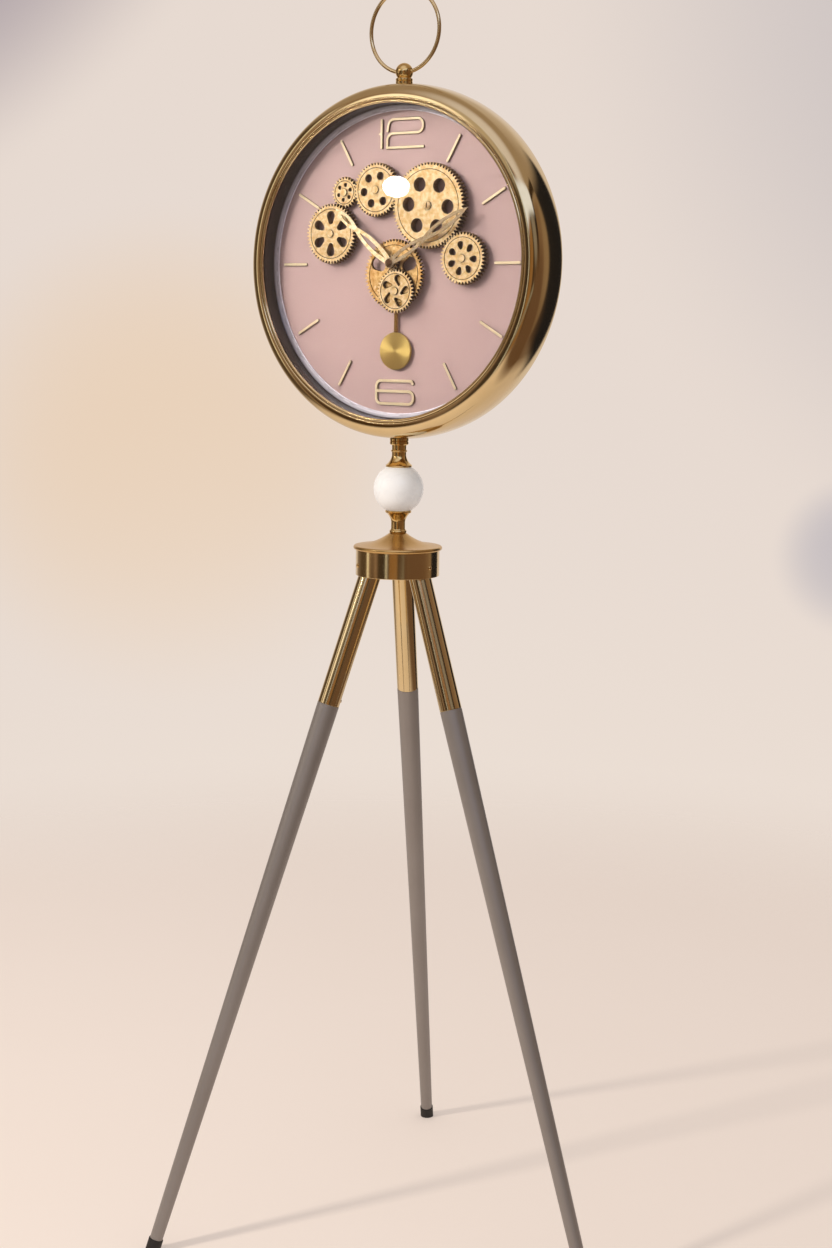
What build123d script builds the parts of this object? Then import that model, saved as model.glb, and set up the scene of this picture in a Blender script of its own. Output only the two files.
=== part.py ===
from build123d import *
from math import asin, cos, degrees, pi, radians, sin, sqrt, tan
import os

# Tripod floor clock. Origin on the floor under the stem, +Z up, dial facing -Y.
# The parts of the clock head are drawn with +Z out of the dial and Z = 0 on the front of the dial.

# Fits
seat_gap = 0.3
running_gap = 0.05

# Legs
foot_circle_radius = 339
leg_top_radius = 39
first_leg_angle = -36.5
leg_names = ("left", "right", "back")
leg_tube_diameter = 29.4
leg_tube_wall = 1.5
leg_socket_depth = 26
leg_joint_below_hub = 180
leg_spigot_length = 70
leg_foot_diameter = 17.5
foot_tip_diameter = 19.8
foot_tip_length = 19
foot_tip_sole = 6
sleeve_screw_above_joint = 8
sleeve_screw_turns = (0, 0, 180)
leg_screw_head_diameter = 6
leg_screw_head_height = 2
leg_screw_edge = 0.4
leg_screw_diameter = 3
leg_screw_reach = 8

# Hub and stem, each height counted from the piece below
hub_bottom_height = 911
hub_height = 34.5
hub_diameter = 112
hub_nut_pocket_depth = 12
hub_nut_pocket_diameter = 25.5
hub_screw_rise = 14
cap_height = 21.5
cap_rim_diameter = 118.4
cap_rim_height = 5
cap_rim_round = 1.5
cap_hollow_radius = 27.2
cap_hollow_rise = 12
lower_collar_height = 30.6
lower_neck_diameter = 18.8
lower_bead_diameter = 23
lower_bead_height = 4.6
ball_diameter = 66.4
collar_rim_diameter = 35.4
collar_rim_height = 2.6
collar_rim_bevel = 1.0
collar_flare_height = 12.8
collar_flare_hollow = 2.4
upper_collar_height = 37.21
upper_neck_diameter = 19.2
neck_bead_height = 2.8
neck_bead_bulge = 1.2
neck_bead_drop = 1.0
flange_diameter = 25
flange_height = 8
flange_bevel = 1.2
flange_groove_drop = 3.1
flange_groove_depth = 0.9
flange_groove_half_width = 0.7
stem_rod_diameter = 10
stem_nut_height = 8
stem_nut_width = 17
stem_rod_end = 2

# Case
case_diameter = 454
case_depth = 75
case_wall = 1.6
case_skirt = 8
case_round_radius = 19
case_crown_radius = 120
dial_setback = 31

# Finial and bail ring
finial_ball_diameter = 22.8
finial_ball_height = 14.8
finial_collar_diameter = 22
finial_collar_height = 6.8
finial_neck_diameter = 16.8
finial_edge = 1.2
finial_groove_height = 3.4
finial_groove_depth = 0.8
finial_groove_half_width = 0.6
ring_radius = 52
ring_wire_diameter = 5

# Glass, bead, inner wall and dial
dial_thickness = 2
glass_thickness = 2.3
glass_back = 26.2
bead_width = 4.2
bead_height = 2.5
bead_lip = 1.4
bead_bevel = 0.6
bead_bevel_height = 0.8
inner_wall_thickness = 4.0
inner_foot_width = 7.0
inner_foot_height = 5.0
inner_foot_edge = 1.0

# Back of the case
spacer_width = 11
cover_thickness = 1.5
cover_overlap_width = 2.5
cover_screw_count = 6
cover_screw_inset = 6.4
cover_screw_diameter = 4.0
cover_screw_length = 16
cover_screw_head_diameter = 8.0
cover_screw_head_height = 2.4
cover_screw_head_taper = 1.0
door_screw_length = 5.4
door_window_width = 124
door_window_height = 92
door_window_round = 3
door_overlap_width = 9
door_corner_radius = 6
door_centre_x = 6
door_centre_y = -2

# Numerals and hour bars
bar_margin = 8.9
bar_length = 39
bar_width = 3.9
mark_height = 2.8
numeral_stroke_width = 3.7
bowl_share = 0.48
twelve_corner_radius = 8.4
twelve_margin = 10.9
twelve_height = 35.5
one_centre_x = -27.5
one_end_length = 1
one_nib_length = 5.5
one_nib_height = 5.5
two_left_x = -18.5
two_right_x = 36
two_lean_width = 3
two_foot_length = 2
six_corner_radius = 7.5
six_margin = 12.4
six_height = 30
six_bowl_height = 16.5
six_left_x = -31
six_right_x = 27
six_hook_drop = 4.5
six_hook_width = 3
six_hook_radius = 2

# Teeth
tooth_module = 1.5
tooth_play_width = 0.52
pressure_angle = 20
tooth_dedendum = 1.25
great_teeth = 70
top_teeth = 44
small_teeth = 25
left_teeth = 50
right_teeth = 42
minute_teeth = 36
pinion_teeth = 12
plate_teeth = 58

# Where the wheels stand, from the middle of the dial, and in which direction each meets its driver
great_centre_x = 53.4
great_centre_y = 71.8
plate_centre_x = 0.5
plate_centre_y = -13.9
top_direction = 165
small_direction = 182
left_direction = 250.6
right_direction = -52
minute_direction = -80

# The layer that each wheel fills
wheel_back = 3.0
great_thickness = 12
top_thickness = 9
small_thickness = 6
left_thickness = 10
right_thickness = 10.5
plate_back = 7.2
plate_thickness = 5
pinion_gap = 0.6
pinion_thickness = 4.4
minute_gap = 0.8
minute_thickness = 3.8

# Rims and windows of the wheels
groove_inset_share = 0.09
groove_width = 0.9
groove_depth = 0.7
great_window_count = 6
great_window_turn = -4
great_window_diameter = 18
great_window_radius = 29.5
top_window_count = 6
top_window_turn = 8
top_window_diameter = 10.5
top_window_radius = 18.5
small_window_count = 6
small_window_turn = 20
small_window_diameter = 5.2
small_window_radius = 9.6
left_window_count = 6
left_window_turn = 30
left_window_inner_radius = 15.5
left_window_inner_width = 7
left_window_outer_radius = 23
left_window_outer_width = 12.5
right_window_count = 7
right_window_turn = -3
right_window_inner_radius = 13.5
right_window_inner_width = 5
right_window_outer_radius = 17.5
right_window_outer_width = 8.6
minute_window_count = 5
minute_window_turn = 6
minute_window_sweep = 22
minute_window_inner_radius = 10
minute_window_inner_width = 3.6
minute_window_outer_radius = 16.5
minute_window_outer_width = 9.6
plate_window_turns = (28, 152)
plate_window_inner_radius = 22
plate_window_inner_width = 13
plate_window_outer_radius = 30
plate_window_outer_width = 17

# Posts, pillars and arbors
post_diameter = 6
post_flange_diameter = 13
post_flange_height = 2.7
post_tail_diameter = 5
post_tail_length = 7
post_nut_width = 8
post_nut_height = 4
cap_gap = 0.2
cap_diameter = 9
cap_thickness = 1.4
cap_stem_diameter = 2.5
cap_stem_length = 4
minute_flange_height = 0.6
great_bolt_diameter = 10.5
great_bolt_edge = 1.2
great_bolt_height = 3.2
great_bolt_slot_width = 1.5
great_bolt_slot_depth = 1.3
pillar_count = 3
pillar_turn = 90
pillar_circle_radius = 33
pillar_diameter = 6
pillar_tail_diameter = 4
bush_diameter = 10
bush_nut_width = 14
bush_nut_height = 3
hour_tube_diameter = 6
hour_tube_tail_length = 1.2
minute_arbor_diameter = 4
minute_arbor_tail_length = 4.8
arbor_tip_length = 1.2

# Hands
hand_gap = 1.4
hour_hand_rise = 1.8
hour_hand_angle = 309
hour_hand_length = 112
hour_hand_pinch_length = 70
hour_hand_thickness = 1.4
hour_lobe_width = 16.5
hour_tip_width = 12.5
minute_hand_angle = 60
minute_hand_length = 137
minute_hand_pinch_length = 62
minute_hand_thickness = 1.2
minute_lobe_width = 13
minute_tip_width = 14.5
hand_root_width = 8
hand_neck_width = 5.5
hand_slot_share = 0.36
hand_slot_gap = 9
hand_point_length = 12.5
hand_hub_diameter = 12
hand_nut_diameter = 9
hand_nut_height = 2.6
hand_nut_edge = 1.0
lobe_middle = 0.5
tip_middle = 0.4
tip_slot_middle = 0.45

# Pendulum
pendulum_length = 112.3
pendulum_rod_diameter = 5
pendulum_rod_back = 1.8
pendulum_eye_diameter = 18
pendulum_eye_thickness = 3
pendulum_weld_depth = 0.6
bob_diameter = 48.5
bob_edge_thickness = 3.2
bob_bulge_height = 1.2
bob_bevel = 0.5
bob_pin_diameter = 2.4
bob_pin_length = 7

# Movement and motor behind the dial
movement_width = 56
movement_depth = 16
movement_corner_radius = 3
bearing_spare_depth = 0.6
cell_diameter = 14.5
cell_length = 50.5
cell_button_diameter = 5.4
cell_button_length = 1.5
cell_bay_floor = 1.0
cell_bay_centre_y = -17.5
knob_diameter = 12
knob_thickness = 4
knob_notch_count = 12
knob_notch_diameter = 2
knob_spindle_diameter = 3
knob_spindle_length = 4
knob_centre_x = 14
knob_centre_y = 12
motor_diameter = 42
motor_depth = 18
motor_boss_diameter = 12
motor_bearing_depth = 15
motor_ear_reach = 27
motor_ear_width = 10
motor_ear_thickness = 1.5
motor_screw_diameter = 3
motor_screw_head_diameter = 6
motor_screw_head_height = 2

os.makedirs("parts", exist_ok=True)

# Heights up the stem
hub_top_height = hub_bottom_height + hub_height
cap_top_height = hub_top_height + cap_height
collar_seat_radius = collar_rim_diameter / 2 - collar_rim_bevel
collar_seat_rise = sqrt((ball_diameter / 2) ** 2 - collar_seat_radius**2)
lower_seat_height = cap_top_height + lower_collar_height
ball_centre_height = lower_seat_height + collar_seat_rise
upper_seat_height = ball_centre_height + collar_seat_rise
case_bottom_height = upper_seat_height + upper_collar_height
dial_centre_height = case_bottom_height + case_diameter / 2
case_top_height = dial_centre_height + case_diameter / 2
ring_pivot_height = case_top_height + finial_ball_height
ring_sag = ring_radius - sqrt(ring_radius**2 - (finial_ball_diameter / 2) ** 2)

# Case, with its middle plane on the stem's axis
case_radius = case_diameter / 2
case_mid = dial_setback - case_depth / 2
case_front = dial_setback
case_back = dial_setback - case_depth
FACE = Plane(origin=(0, case_mid, dial_centre_height), x_dir=(1, 0, 0), z_dir=(0, -1, 0))
crown_angle = degrees(asin((case_depth / 2 - case_round_radius) / (case_crown_radius - case_round_radius)))
round_centre_radius = (
    case_radius - case_crown_radius + (case_crown_radius - case_round_radius) * cos(radians(crown_angle))
)
inset_radius = round_centre_radius - case_wall - seat_gap
glass_front = glass_back + glass_thickness
opening_radius = inset_radius - bead_width
inner_wall_radius = inset_radius - inner_wall_thickness
inner_foot_radius = inner_wall_radius - inner_foot_width

# Marks, counted inward from the foot of the inner wall
bar_outer_radius = inner_foot_radius - bar_margin
twelve_top_height = inner_foot_radius - twelve_margin
twelve_foot_height = twelve_top_height - twelve_height
six_foot_height = six_margin - inner_foot_radius
six_waist_height = six_foot_height + six_bowl_height
six_top_height = six_foot_height + six_height

# Layers in front of the dial, from the plate of the hands outward
plate_front = plate_back + plate_thickness
pinion_back = plate_front + pinion_gap
pinion_front = pinion_back + pinion_thickness
minute_back = plate_front + minute_gap
hour_hand_back = pinion_front + hour_hand_rise
hour_hand_front = hour_hand_back + hour_hand_thickness
minute_hand_back = hour_hand_front + hand_gap
minute_hand_front = minute_hand_back + minute_hand_thickness


def save(name, shape):
    shape.label = name
    export_step(shape, "parts/" + name + ".step")


def save_on_face(name, shape):
    """The clock head is drawn with +Z out of the dial, then stood up on the dial's plane."""
    save(name, FACE.location * shape)


def turned(*edges):
    """A solid of revolution about Z, from a closed outline drawn as (radius, height)."""
    return revolve(Plane.XZ * make_face(edges), axis=Axis.Z)


def turned_points(*points):
    return turned(*Polyline(*points, close=True).edges())


def rod(diameter, bottom, top):
    return Pos(0, 0, bottom) * Cylinder(diameter / 2, top - bottom, align=(Align.CENTER, Align.CENTER, Align.MIN))


def tube(outer, inner, bottom, top):
    return rod(outer, bottom, top) - rod(inner, bottom - 1, top + 1)


def hex_nut(width, bore, bottom, top):
    blank = extrude(RegularPolygon(width / 2, 6, major_radius=False), top - bottom)
    return Pos(0, 0, bottom) * blank - rod(bore, bottom - 1, top + 1)


def domed(diameter, edge, height):
    """A disc on Z = 0 whose upper side is the cap of a sphere."""
    rise = height - edge
    sphere_radius = (diameter**2 / 4 + rise**2) / (2 * rise)
    return rod(diameter, 0, height) & (Pos(0, 0, height - sphere_radius) * Sphere(sphere_radius))


def polar(radius, angle):
    return (radius * cos(radians(angle)), radius * sin(radians(angle)))


def beyond(start, distance, angle):
    step = polar(distance, angle)
    return (start[0] + step[0], start[1] + step[1])


# Case, glass and dial


def case_outline(inward):
    """Both rounds and the crowned wall of the case, moved inward by a wall thickness."""
    round_offset = case_depth / 2 - case_round_radius
    arc_radius = case_round_radius - inward
    front_round = CenterArc((round_centre_radius, case_mid + round_offset), arc_radius, 90, crown_angle - 90)
    crown_centre = (case_radius - case_crown_radius, case_mid)
    crown = CenterArc(crown_centre, case_crown_radius - inward, crown_angle, -2 * crown_angle)
    back_round = CenterArc((round_centre_radius, case_mid - round_offset), arc_radius, -crown_angle, crown_angle - 90)
    return [front_round, crown, back_round]


def case_form():
    """The case as a solid drum, to shape what sits against it."""
    flat_front = Line((0, case_front), (round_centre_radius, case_front))
    flat_back = Line((0, case_back), (round_centre_radius, case_back))
    axis_side = Line((0, case_back), (0, case_front))
    return FACE.location * turned(flat_front, *case_outline(0), flat_back, axis_side)


def case_ring():
    """One spun shell: the wall rolls over in front and behind and turns in to a short skirt.

    The holes for the stem and the finial are drilled in one go.
    """
    skirt_radius = round_centre_radius - case_wall
    front_turn = ThreePointArc(
        (round_centre_radius, case_front),
        (round_centre_radius - case_wall * sin(radians(45)), case_front - case_wall * (1 - cos(radians(45)))),
        (skirt_radius, case_front - case_wall),
    )
    front_skirt = Polyline(
        (skirt_radius, case_front - case_wall),
        (skirt_radius, case_front - case_skirt),
        (round_centre_radius, case_front - case_skirt),
        (round_centre_radius, case_front - case_wall),
    )
    back_skirt = Polyline(
        (round_centre_radius, case_back),
        (skirt_radius, case_back),
        (skirt_radius, case_back + case_skirt),
        (round_centre_radius, case_back + case_skirt),
        (round_centre_radius, case_back + case_wall),
    )
    outline = case_outline(0) + case_outline(case_wall) + [front_turn]
    shell = turned(*outline, *front_skirt.edges(), *back_skirt.edges())
    drill = rod(stem_rod_diameter, case_bottom_height - case_wall, case_top_height + case_wall)
    return FACE.location * shell - drill


def bezel_bead():
    """Bead on a flat lip that holds the glass, its edges broken."""
    lip_front = glass_front + bead_lip
    bevel_front = lip_front + bead_bevel_height
    return turned_points(
        (opening_radius, glass_front),
        (inset_radius, glass_front),
        (inset_radius, lip_front),
        (inset_radius - bead_bevel, bevel_front),
        (opening_radius + bead_width / 2, glass_front + bead_height),
        (opening_radius + bead_bevel, bevel_front),
        (opening_radius, lip_front),
    )


def inner_wall():
    """Ring between glass and dial, with a sloping foot on the dial."""
    return turned_points(
        (inset_radius, 0),
        (inset_radius, glass_back),
        (inner_wall_radius, glass_back),
        (inner_wall_radius, inner_foot_height),
        (inner_foot_radius, inner_foot_edge),
        (inner_foot_radius, 0),
    )


def dial_plate():
    plate = rod(2 * inset_radius, -dial_thickness, 0)
    plate -= rod(bush_diameter, -2 * dial_thickness, dial_thickness)
    plate -= Pos(*great.centre) * rod(motor_boss_diameter, -2 * dial_thickness, dial_thickness)
    for wheel in post_wheels:
        plate -= Pos(*wheel.centre) * rod(post_tail_diameter, -2 * dial_thickness, dial_thickness)
    for spot in pillar_spots():
        plate -= Pos(*spot) * rod(pillar_tail_diameter, -2 * dial_thickness, dial_thickness)
    for spot in motor_screw_spots():
        plate -= Pos(*spot) * rod(motor_screw_diameter, -2 * dial_thickness, dial_thickness)
    return plate


def around(radius, count, turn, centre=(0, 0)):
    """Evenly spaced places on a circle, the first one at the angle turn."""
    return [beyond(centre, radius, turn + 360 * k / count) for k in range(count)]


def cover_screw_spots():
    return around(inset_radius - cover_screw_inset, cover_screw_count, 90)


def door_screw_spots():
    reach_x = (door_window_width + door_overlap_width) / 2
    reach_y = (door_window_height + door_overlap_width) / 2
    return [(door_centre_x + i * reach_x, door_centre_y + j * reach_y) for i in (-1, 1) for j in (-1, 1)]


def spacer_ring():
    ring = tube(2 * inset_radius, 2 * (inset_radius - spacer_width), case_back, -dial_thickness)
    for spot in cover_screw_spots():
        ring -= Pos(*spot) * rod(cover_screw_diameter, case_back - 1, case_back + cover_screw_length - cover_thickness)
    return ring


def back_cover():
    cover = rod(2 * (round_centre_radius + cover_overlap_width), case_back - cover_thickness, case_back)
    opening = RectangleRounded(door_window_width, door_window_height, door_window_round)
    cover -= Pos(door_centre_x, door_centre_y, case_back - 2 * cover_thickness) * extrude(opening, 4 * cover_thickness)
    for spot in cover_screw_spots() + door_screw_spots():
        cover -= Pos(*spot) * rod(cover_screw_diameter, case_back - 2 * cover_thickness, case_back + cover_thickness)
    return cover


def access_door():
    """Plate over the window in the back cover, to change the cell and set the hands."""
    width = door_window_width + 2 * door_overlap_width
    height = door_window_height + 2 * door_overlap_width
    door = extrude(RectangleRounded(width, height, door_corner_radius), cover_thickness)
    door = Pos(door_centre_x, door_centre_y, case_back - 2 * cover_thickness) * door
    for spot in door_screw_spots():
        door -= Pos(*spot) * rod(cover_screw_diameter, case_back - 3 * cover_thickness, case_back)
    return door


def back_screw(head_side, reach):
    """Pan-head screw driven from behind, its head on the plane head_side."""
    head = Pos(0, 0, head_side - cover_screw_head_height) * Cone(
        cover_screw_head_diameter / 2 - cover_screw_head_taper,
        cover_screw_head_diameter / 2,
        cover_screw_head_height,
        align=(Align.CENTER, Align.CENTER, Align.MIN),
    )
    return head + rod(cover_screw_diameter, head_side, head_side + reach)


def cover_screws():
    ring_screw = back_screw(case_back - cover_thickness, cover_screw_length)
    door_screw = back_screw(case_back - 2 * cover_thickness, door_screw_length)
    screws = [Pos(*spot) * ring_screw for spot in cover_screw_spots()]
    screws += [Pos(*spot) * door_screw for spot in door_screw_spots()]
    return Compound(children=screws)


# Numerals and hour bars


def bent_bar(points, corner_radii):
    path = FilletPolyline(*points, radius=corner_radii)
    return trace(path, line_width=numeral_stroke_width)


def numeral_12():
    """A plain upright bar with a small nib, and a 2 bent from one bar."""
    bowl_height = twelve_height / 2
    waist = twelve_foot_height + bowl_height
    bar = Pos(one_centre_x, waist) * Rectangle(numeral_stroke_width, twelve_height + 2 * one_end_length)
    nib = Polyline(
        (one_centre_x, waist + one_nib_height / 2),
        (one_centre_x - one_nib_length, waist),
        (one_centre_x, waist - one_nib_height / 2),
        close=True,
    )
    one = extrude(bar + make_face(nib), mark_height)
    two = bent_bar(
        [
            (two_left_x, waist + numeral_stroke_width / 2),
            (two_left_x + two_lean_width, twelve_top_height),
            (two_right_x, twelve_top_height),
            (two_right_x, waist),
            (two_left_x, waist),
            (two_left_x, twelve_foot_height),
            (two_right_x + two_foot_length, twelve_foot_height),
        ],
        [min(twelve_corner_radius, bowl_share * bowl_height)] * 4 + [0],
    )
    return Compound(children=[one.solid(), extrude(two, mark_height).solid()])


def numeral_6():
    """A 6 with square shoulders, bent from one bar."""
    bend = bent_bar(
        [
            (six_right_x, six_top_height - six_hook_drop),
            (six_right_x - six_hook_width, six_top_height),
            (six_left_x, six_top_height),
            (six_left_x, six_foot_height),
            (six_right_x, six_foot_height),
            (six_right_x, six_waist_height),
            (0, six_waist_height),
        ],
        [six_hook_radius] + [min(six_corner_radius, bowl_share * six_bowl_height)] * 4,
    )
    waist_bar = Pos(six_left_x / 2, six_waist_height) * Rectangle(-six_left_x, numeral_stroke_width)
    return extrude(bend + waist_bar, mark_height)


def hour_batons():
    middle = bar_outer_radius - bar_length / 2
    bar = extrude(SlotOverall(bar_length, bar_width), mark_height)
    bars = []
    for hour in range(1, 12):
        if hour != 6:
            bars.append(Rot(0, 0, 90 - 30 * hour) * Pos(middle, 0, 0) * bar)
    return Compound(children=bars)


# Wheels


class Wheel:
    """A toothed wheel: where it stands, how it is turned, and the layer that it fills."""

    def __init__(self, teeth, centre, first_tooth, back, thickness):
        self.teeth = teeth
        self.centre = centre
        self.first_tooth = first_tooth
        self.back = back
        self.front = back + thickness
        self.pitch_radius = tooth_module * teeth / 2
        self.root_radius = self.pitch_radius - tooth_dedendum * tooth_module
        self.tip_radius = self.pitch_radius + tooth_module

    def meshed(self, teeth, direction, back, thickness):
        """The wheel that meshes with this one in the given direction, a gap against a tooth."""
        centre = beyond(self.centre, tooth_module * (self.teeth + teeth) / 2, direction)
        tooth_phase = self.teeth * (direction - self.first_tooth)
        first_tooth = direction + 180 - (180 - tooth_phase) / teeth
        return Wheel(teeth, centre, first_tooth, back, thickness)

    def half_tooth_angle(self, radius):
        half_width = tooth_module * pi / 4 - tooth_play_width / 2
        half_width -= (radius - self.pitch_radius) * tan(radians(pressure_angle))
        return degrees(half_width / radius)

    def blank(self):
        corners = []
        for tooth in range(self.teeth):
            middle = self.first_tooth + 360 * tooth / self.teeth
            corners.append(polar(self.root_radius, middle - self.half_tooth_angle(self.root_radius)))
            corners.append(polar(self.tip_radius, middle - self.half_tooth_angle(self.tip_radius)))
            corners.append(polar(self.tip_radius, middle + self.half_tooth_angle(self.tip_radius)))
            corners.append(polar(self.root_radius, middle + self.half_tooth_angle(self.root_radius)))
        face = make_face(Polyline(*corners, close=True))
        return Pos(0, 0, self.back) * extrude(face, self.front - self.back)

    def rim_groove(self):
        """The turned groove that sets off the rim on the front face."""
        outer = self.root_radius * (1 - groove_inset_share)
        return tube(2 * outer, 2 * (outer - groove_width), self.front - groove_depth, self.front + 1)

    def solid(self, bore, windows):
        wheel = self.blank() - self.rim_groove() - rod(bore, self.back - 1, self.front + 1)
        for window in windows:
            wheel -= Pos(0, 0, self.back - 1) * extrude(window, self.front - self.back + 2)
        return Pos(*self.centre) * wheel


def windows_around(shape, count, turn):
    return [Rot(0, 0, turn + 360 * k / count) * shape for k in range(count)]


def round_window(diameter, circle_radius):
    return Pos(circle_radius, 0) * Circle(diameter / 2)


def tapered_window(inner_radius, inner_width, outer_radius, outer_width, sweep=0):
    """A window that widens outward, its inner end turned back by an angle."""
    inner_end = Pos(*polar(inner_radius, -sweep)) * Circle(inner_width / 2)
    outer_end = Pos(outer_radius, 0) * Circle(outer_width / 2)
    return make_hull(inner_end.edges() + outer_end.edges())


def great_wheel():
    window = round_window(great_window_diameter, great_window_radius)
    return great.solid(post_diameter, windows_around(window, great_window_count, great_window_turn))


def top_wheel():
    window = round_window(top_window_diameter, top_window_radius)
    return top.solid(post_diameter + 2 * running_gap, windows_around(window, top_window_count, top_window_turn))


def small_wheel():
    window = round_window(small_window_diameter, small_window_radius)
    return small.solid(post_diameter + 2 * running_gap, windows_around(window, small_window_count, small_window_turn))


def left_wheel():
    window = tapered_window(
        left_window_inner_radius,
        left_window_inner_width,
        left_window_outer_radius,
        left_window_outer_width,
    )
    return left.solid(post_diameter + 2 * running_gap, windows_around(window, left_window_count, left_window_turn))


def right_wheel():
    window = tapered_window(
        right_window_inner_radius,
        right_window_inner_width,
        right_window_outer_radius,
        right_window_outer_width,
    )
    return right.solid(post_diameter + 2 * running_gap, windows_around(window, right_window_count, right_window_turn))


def minute_wheel():
    """Wheel below the hands, with curved arms left between its leaning windows."""
    window = tapered_window(
        minute_window_inner_radius,
        minute_window_inner_width,
        minute_window_outer_radius,
        minute_window_outer_width,
        minute_window_sweep,
    )
    windows = windows_around(window, minute_window_count, minute_window_turn)
    return minute.solid(post_diameter + 2 * running_gap, windows)


def pillar_spots():
    return around(pillar_circle_radius, pillar_count, pillar_turn, plate_wheel.centre)


def centre_plate():
    """Fixed toothed plate that holds the front of the hands' bush and the minute wheel's post."""
    window = tapered_window(
        plate_window_inner_radius,
        plate_window_inner_width,
        plate_window_outer_radius,
        plate_window_outer_width,
    )
    plate = plate_wheel.solid(pillar_tail_diameter, [Rot(0, 0, turn) * window for turn in plate_window_turns])
    plate -= rod(bush_diameter, plate_back - 1, plate_front + 1)
    plate -= Pos(*minute.centre) * rod(post_tail_diameter, plate_back - 1, plate_front + 1)
    for spot in pillar_spots():
        plate -= Pos(*spot) * rod(pillar_tail_diameter, plate_back - 1, plate_front + 1)
    return plate


def plate_pillars():
    """Shouldered pillars riveted through dial and plate."""
    pillar = rod(pillar_diameter, 0, plate_back)
    pillar += rod(pillar_tail_diameter, -dial_thickness, 0)
    pillar += rod(pillar_tail_diameter, plate_back, plate_front)
    return Compound(children=[Pos(*spot) * pillar for spot in pillar_spots()])


# Posts, arbors and what holds the wheels on them


def post(tail_bottom, flange_bottom, flange_diameter, flange_height, top_end):
    """Shouldered post: tail through its plate, flange, then the journal for the wheel."""
    body = rod(post_tail_diameter, tail_bottom, flange_bottom)
    body += rod(flange_diameter, flange_bottom, flange_bottom + flange_height)
    body += rod(post_diameter, flange_bottom + flange_height, top_end)
    return body - rod(cap_stem_diameter, top_end - cap_stem_length, top_end + 1)


def gear_posts():
    posts = []
    for wheel in post_wheels:
        body = post(-post_tail_length, 0, post_flange_diameter, post_flange_height, wheel.front + cap_gap)
        posts.append(Pos(*wheel.centre) * body)
    return Compound(children=posts)


def minute_post():
    body = post(plate_back, plate_front, cap_diameter, minute_flange_height, minute.front + cap_gap)
    return Pos(*minute.centre) * body


def post_nuts():
    nut = hex_nut(post_nut_width, post_tail_diameter, -dial_thickness - post_nut_height, -dial_thickness)
    return Compound(children=[Pos(*wheel.centre) * nut for wheel in post_wheels])


def gear_caps():
    """Cheese-head screws that keep each wheel on its post."""
    caps = []
    for wheel in (*post_wheels, minute):
        seat = wheel.front + cap_gap
        cap = rod(cap_diameter, seat, seat + cap_thickness) + rod(cap_stem_diameter, seat - cap_stem_length, seat)
        caps.append(Pos(*wheel.centre) * cap)
    return Compound(children=caps)


def great_arbor():
    """Driven arbor of the great wheel, out of the gear motor's boss."""
    arbor = rod(post_diameter, -dial_thickness - motor_bearing_depth, great.front)
    arbor -= rod(cap_stem_diameter, great.front - cap_stem_length, great.front + 1)
    return Pos(*great.centre) * arbor


def great_bolt():
    """Domed bolt with a slot, on the end of the driven arbor."""
    head = domed(great_bolt_diameter, great_bolt_edge, great_bolt_height)
    slot = Box(great_bolt_slot_width, 2 * great_bolt_diameter, 2 * great_bolt_slot_depth)
    head -= Pos(0, 0, great_bolt_height) * slot
    stem = rod(cap_stem_diameter, great.front - cap_stem_length, great.front)
    return Pos(*great.centre) * (Pos(0, 0, great.front) * head + stem)


def arbor_bush():
    return tube(bush_diameter, hour_tube_diameter + 2 * running_gap, -dial_thickness, plate_front)


def hour_tube():
    bore = minute_arbor_diameter + 2 * running_gap
    return tube(hour_tube_diameter, bore, -dial_thickness - hour_tube_tail_length, hour_hand_front)


def minute_arbor():
    back = -dial_thickness - minute_arbor_tail_length
    return rod(minute_arbor_diameter, back, minute_hand_front + arbor_tip_length)


# Hands


def leaf(start, end, start_half, end_half, width, widest):
    """Two arcs, one each side, from one end of a lobe to the other."""
    middle = start + widest * (end - start)
    upper = ThreePointArc((start, start_half), (middle, width / 2), (end, end_half))
    lower = ThreePointArc((start, -start_half), (middle, -width / 2), (end, -end_half))
    return upper, lower


def hand(length, pinch, lobe_width, tip_width, back, front, bore, clock_angle):
    """Openwork hand of two leaf-shaped lobes that meet at a pinch, the outer one pointed."""
    hub_radius = hand_hub_diameter / 2
    neck = hand_neck_width / 2
    root = hand_root_width / 2
    lobe_upper, lobe_lower = leaf(0, pinch, root, neck, lobe_width, lobe_middle)
    tip_upper, tip_lower = leaf(pinch, length, neck, 0, tip_width, tip_middle)
    root_side = Line((0, root), (0, -root))
    outline = make_face([root_side, lobe_upper, tip_upper, tip_lower, lobe_lower])
    lobe_slot_ends = (hub_radius + hand_slot_gap / 2, pinch - hand_slot_gap)
    tip_slot_ends = (pinch + hand_slot_gap, length - hand_point_length)
    lobe_slot = leaf(*lobe_slot_ends, 0, 0, hand_slot_share * lobe_width, lobe_middle)
    tip_slot = leaf(*tip_slot_ends, 0, 0, hand_slot_share * tip_width, tip_slot_middle)
    face = outline + Circle(hub_radius) - make_face(lobe_slot) - make_face(tip_slot) - Circle(bore / 2)
    return Rot(0, 0, 90 - clock_angle) * Pos(0, 0, back) * extrude(face, front - back)


def hour_hand():
    return hand(
        hour_hand_length,
        hour_hand_pinch_length,
        hour_lobe_width,
        hour_tip_width,
        hour_hand_back,
        hour_hand_front,
        hour_tube_diameter,
        hour_hand_angle,
    )


def minute_hand():
    return hand(
        minute_hand_length,
        minute_hand_pinch_length,
        minute_lobe_width,
        minute_tip_width,
        minute_hand_back,
        minute_hand_front,
        minute_arbor_diameter,
        minute_hand_angle,
    )


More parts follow.
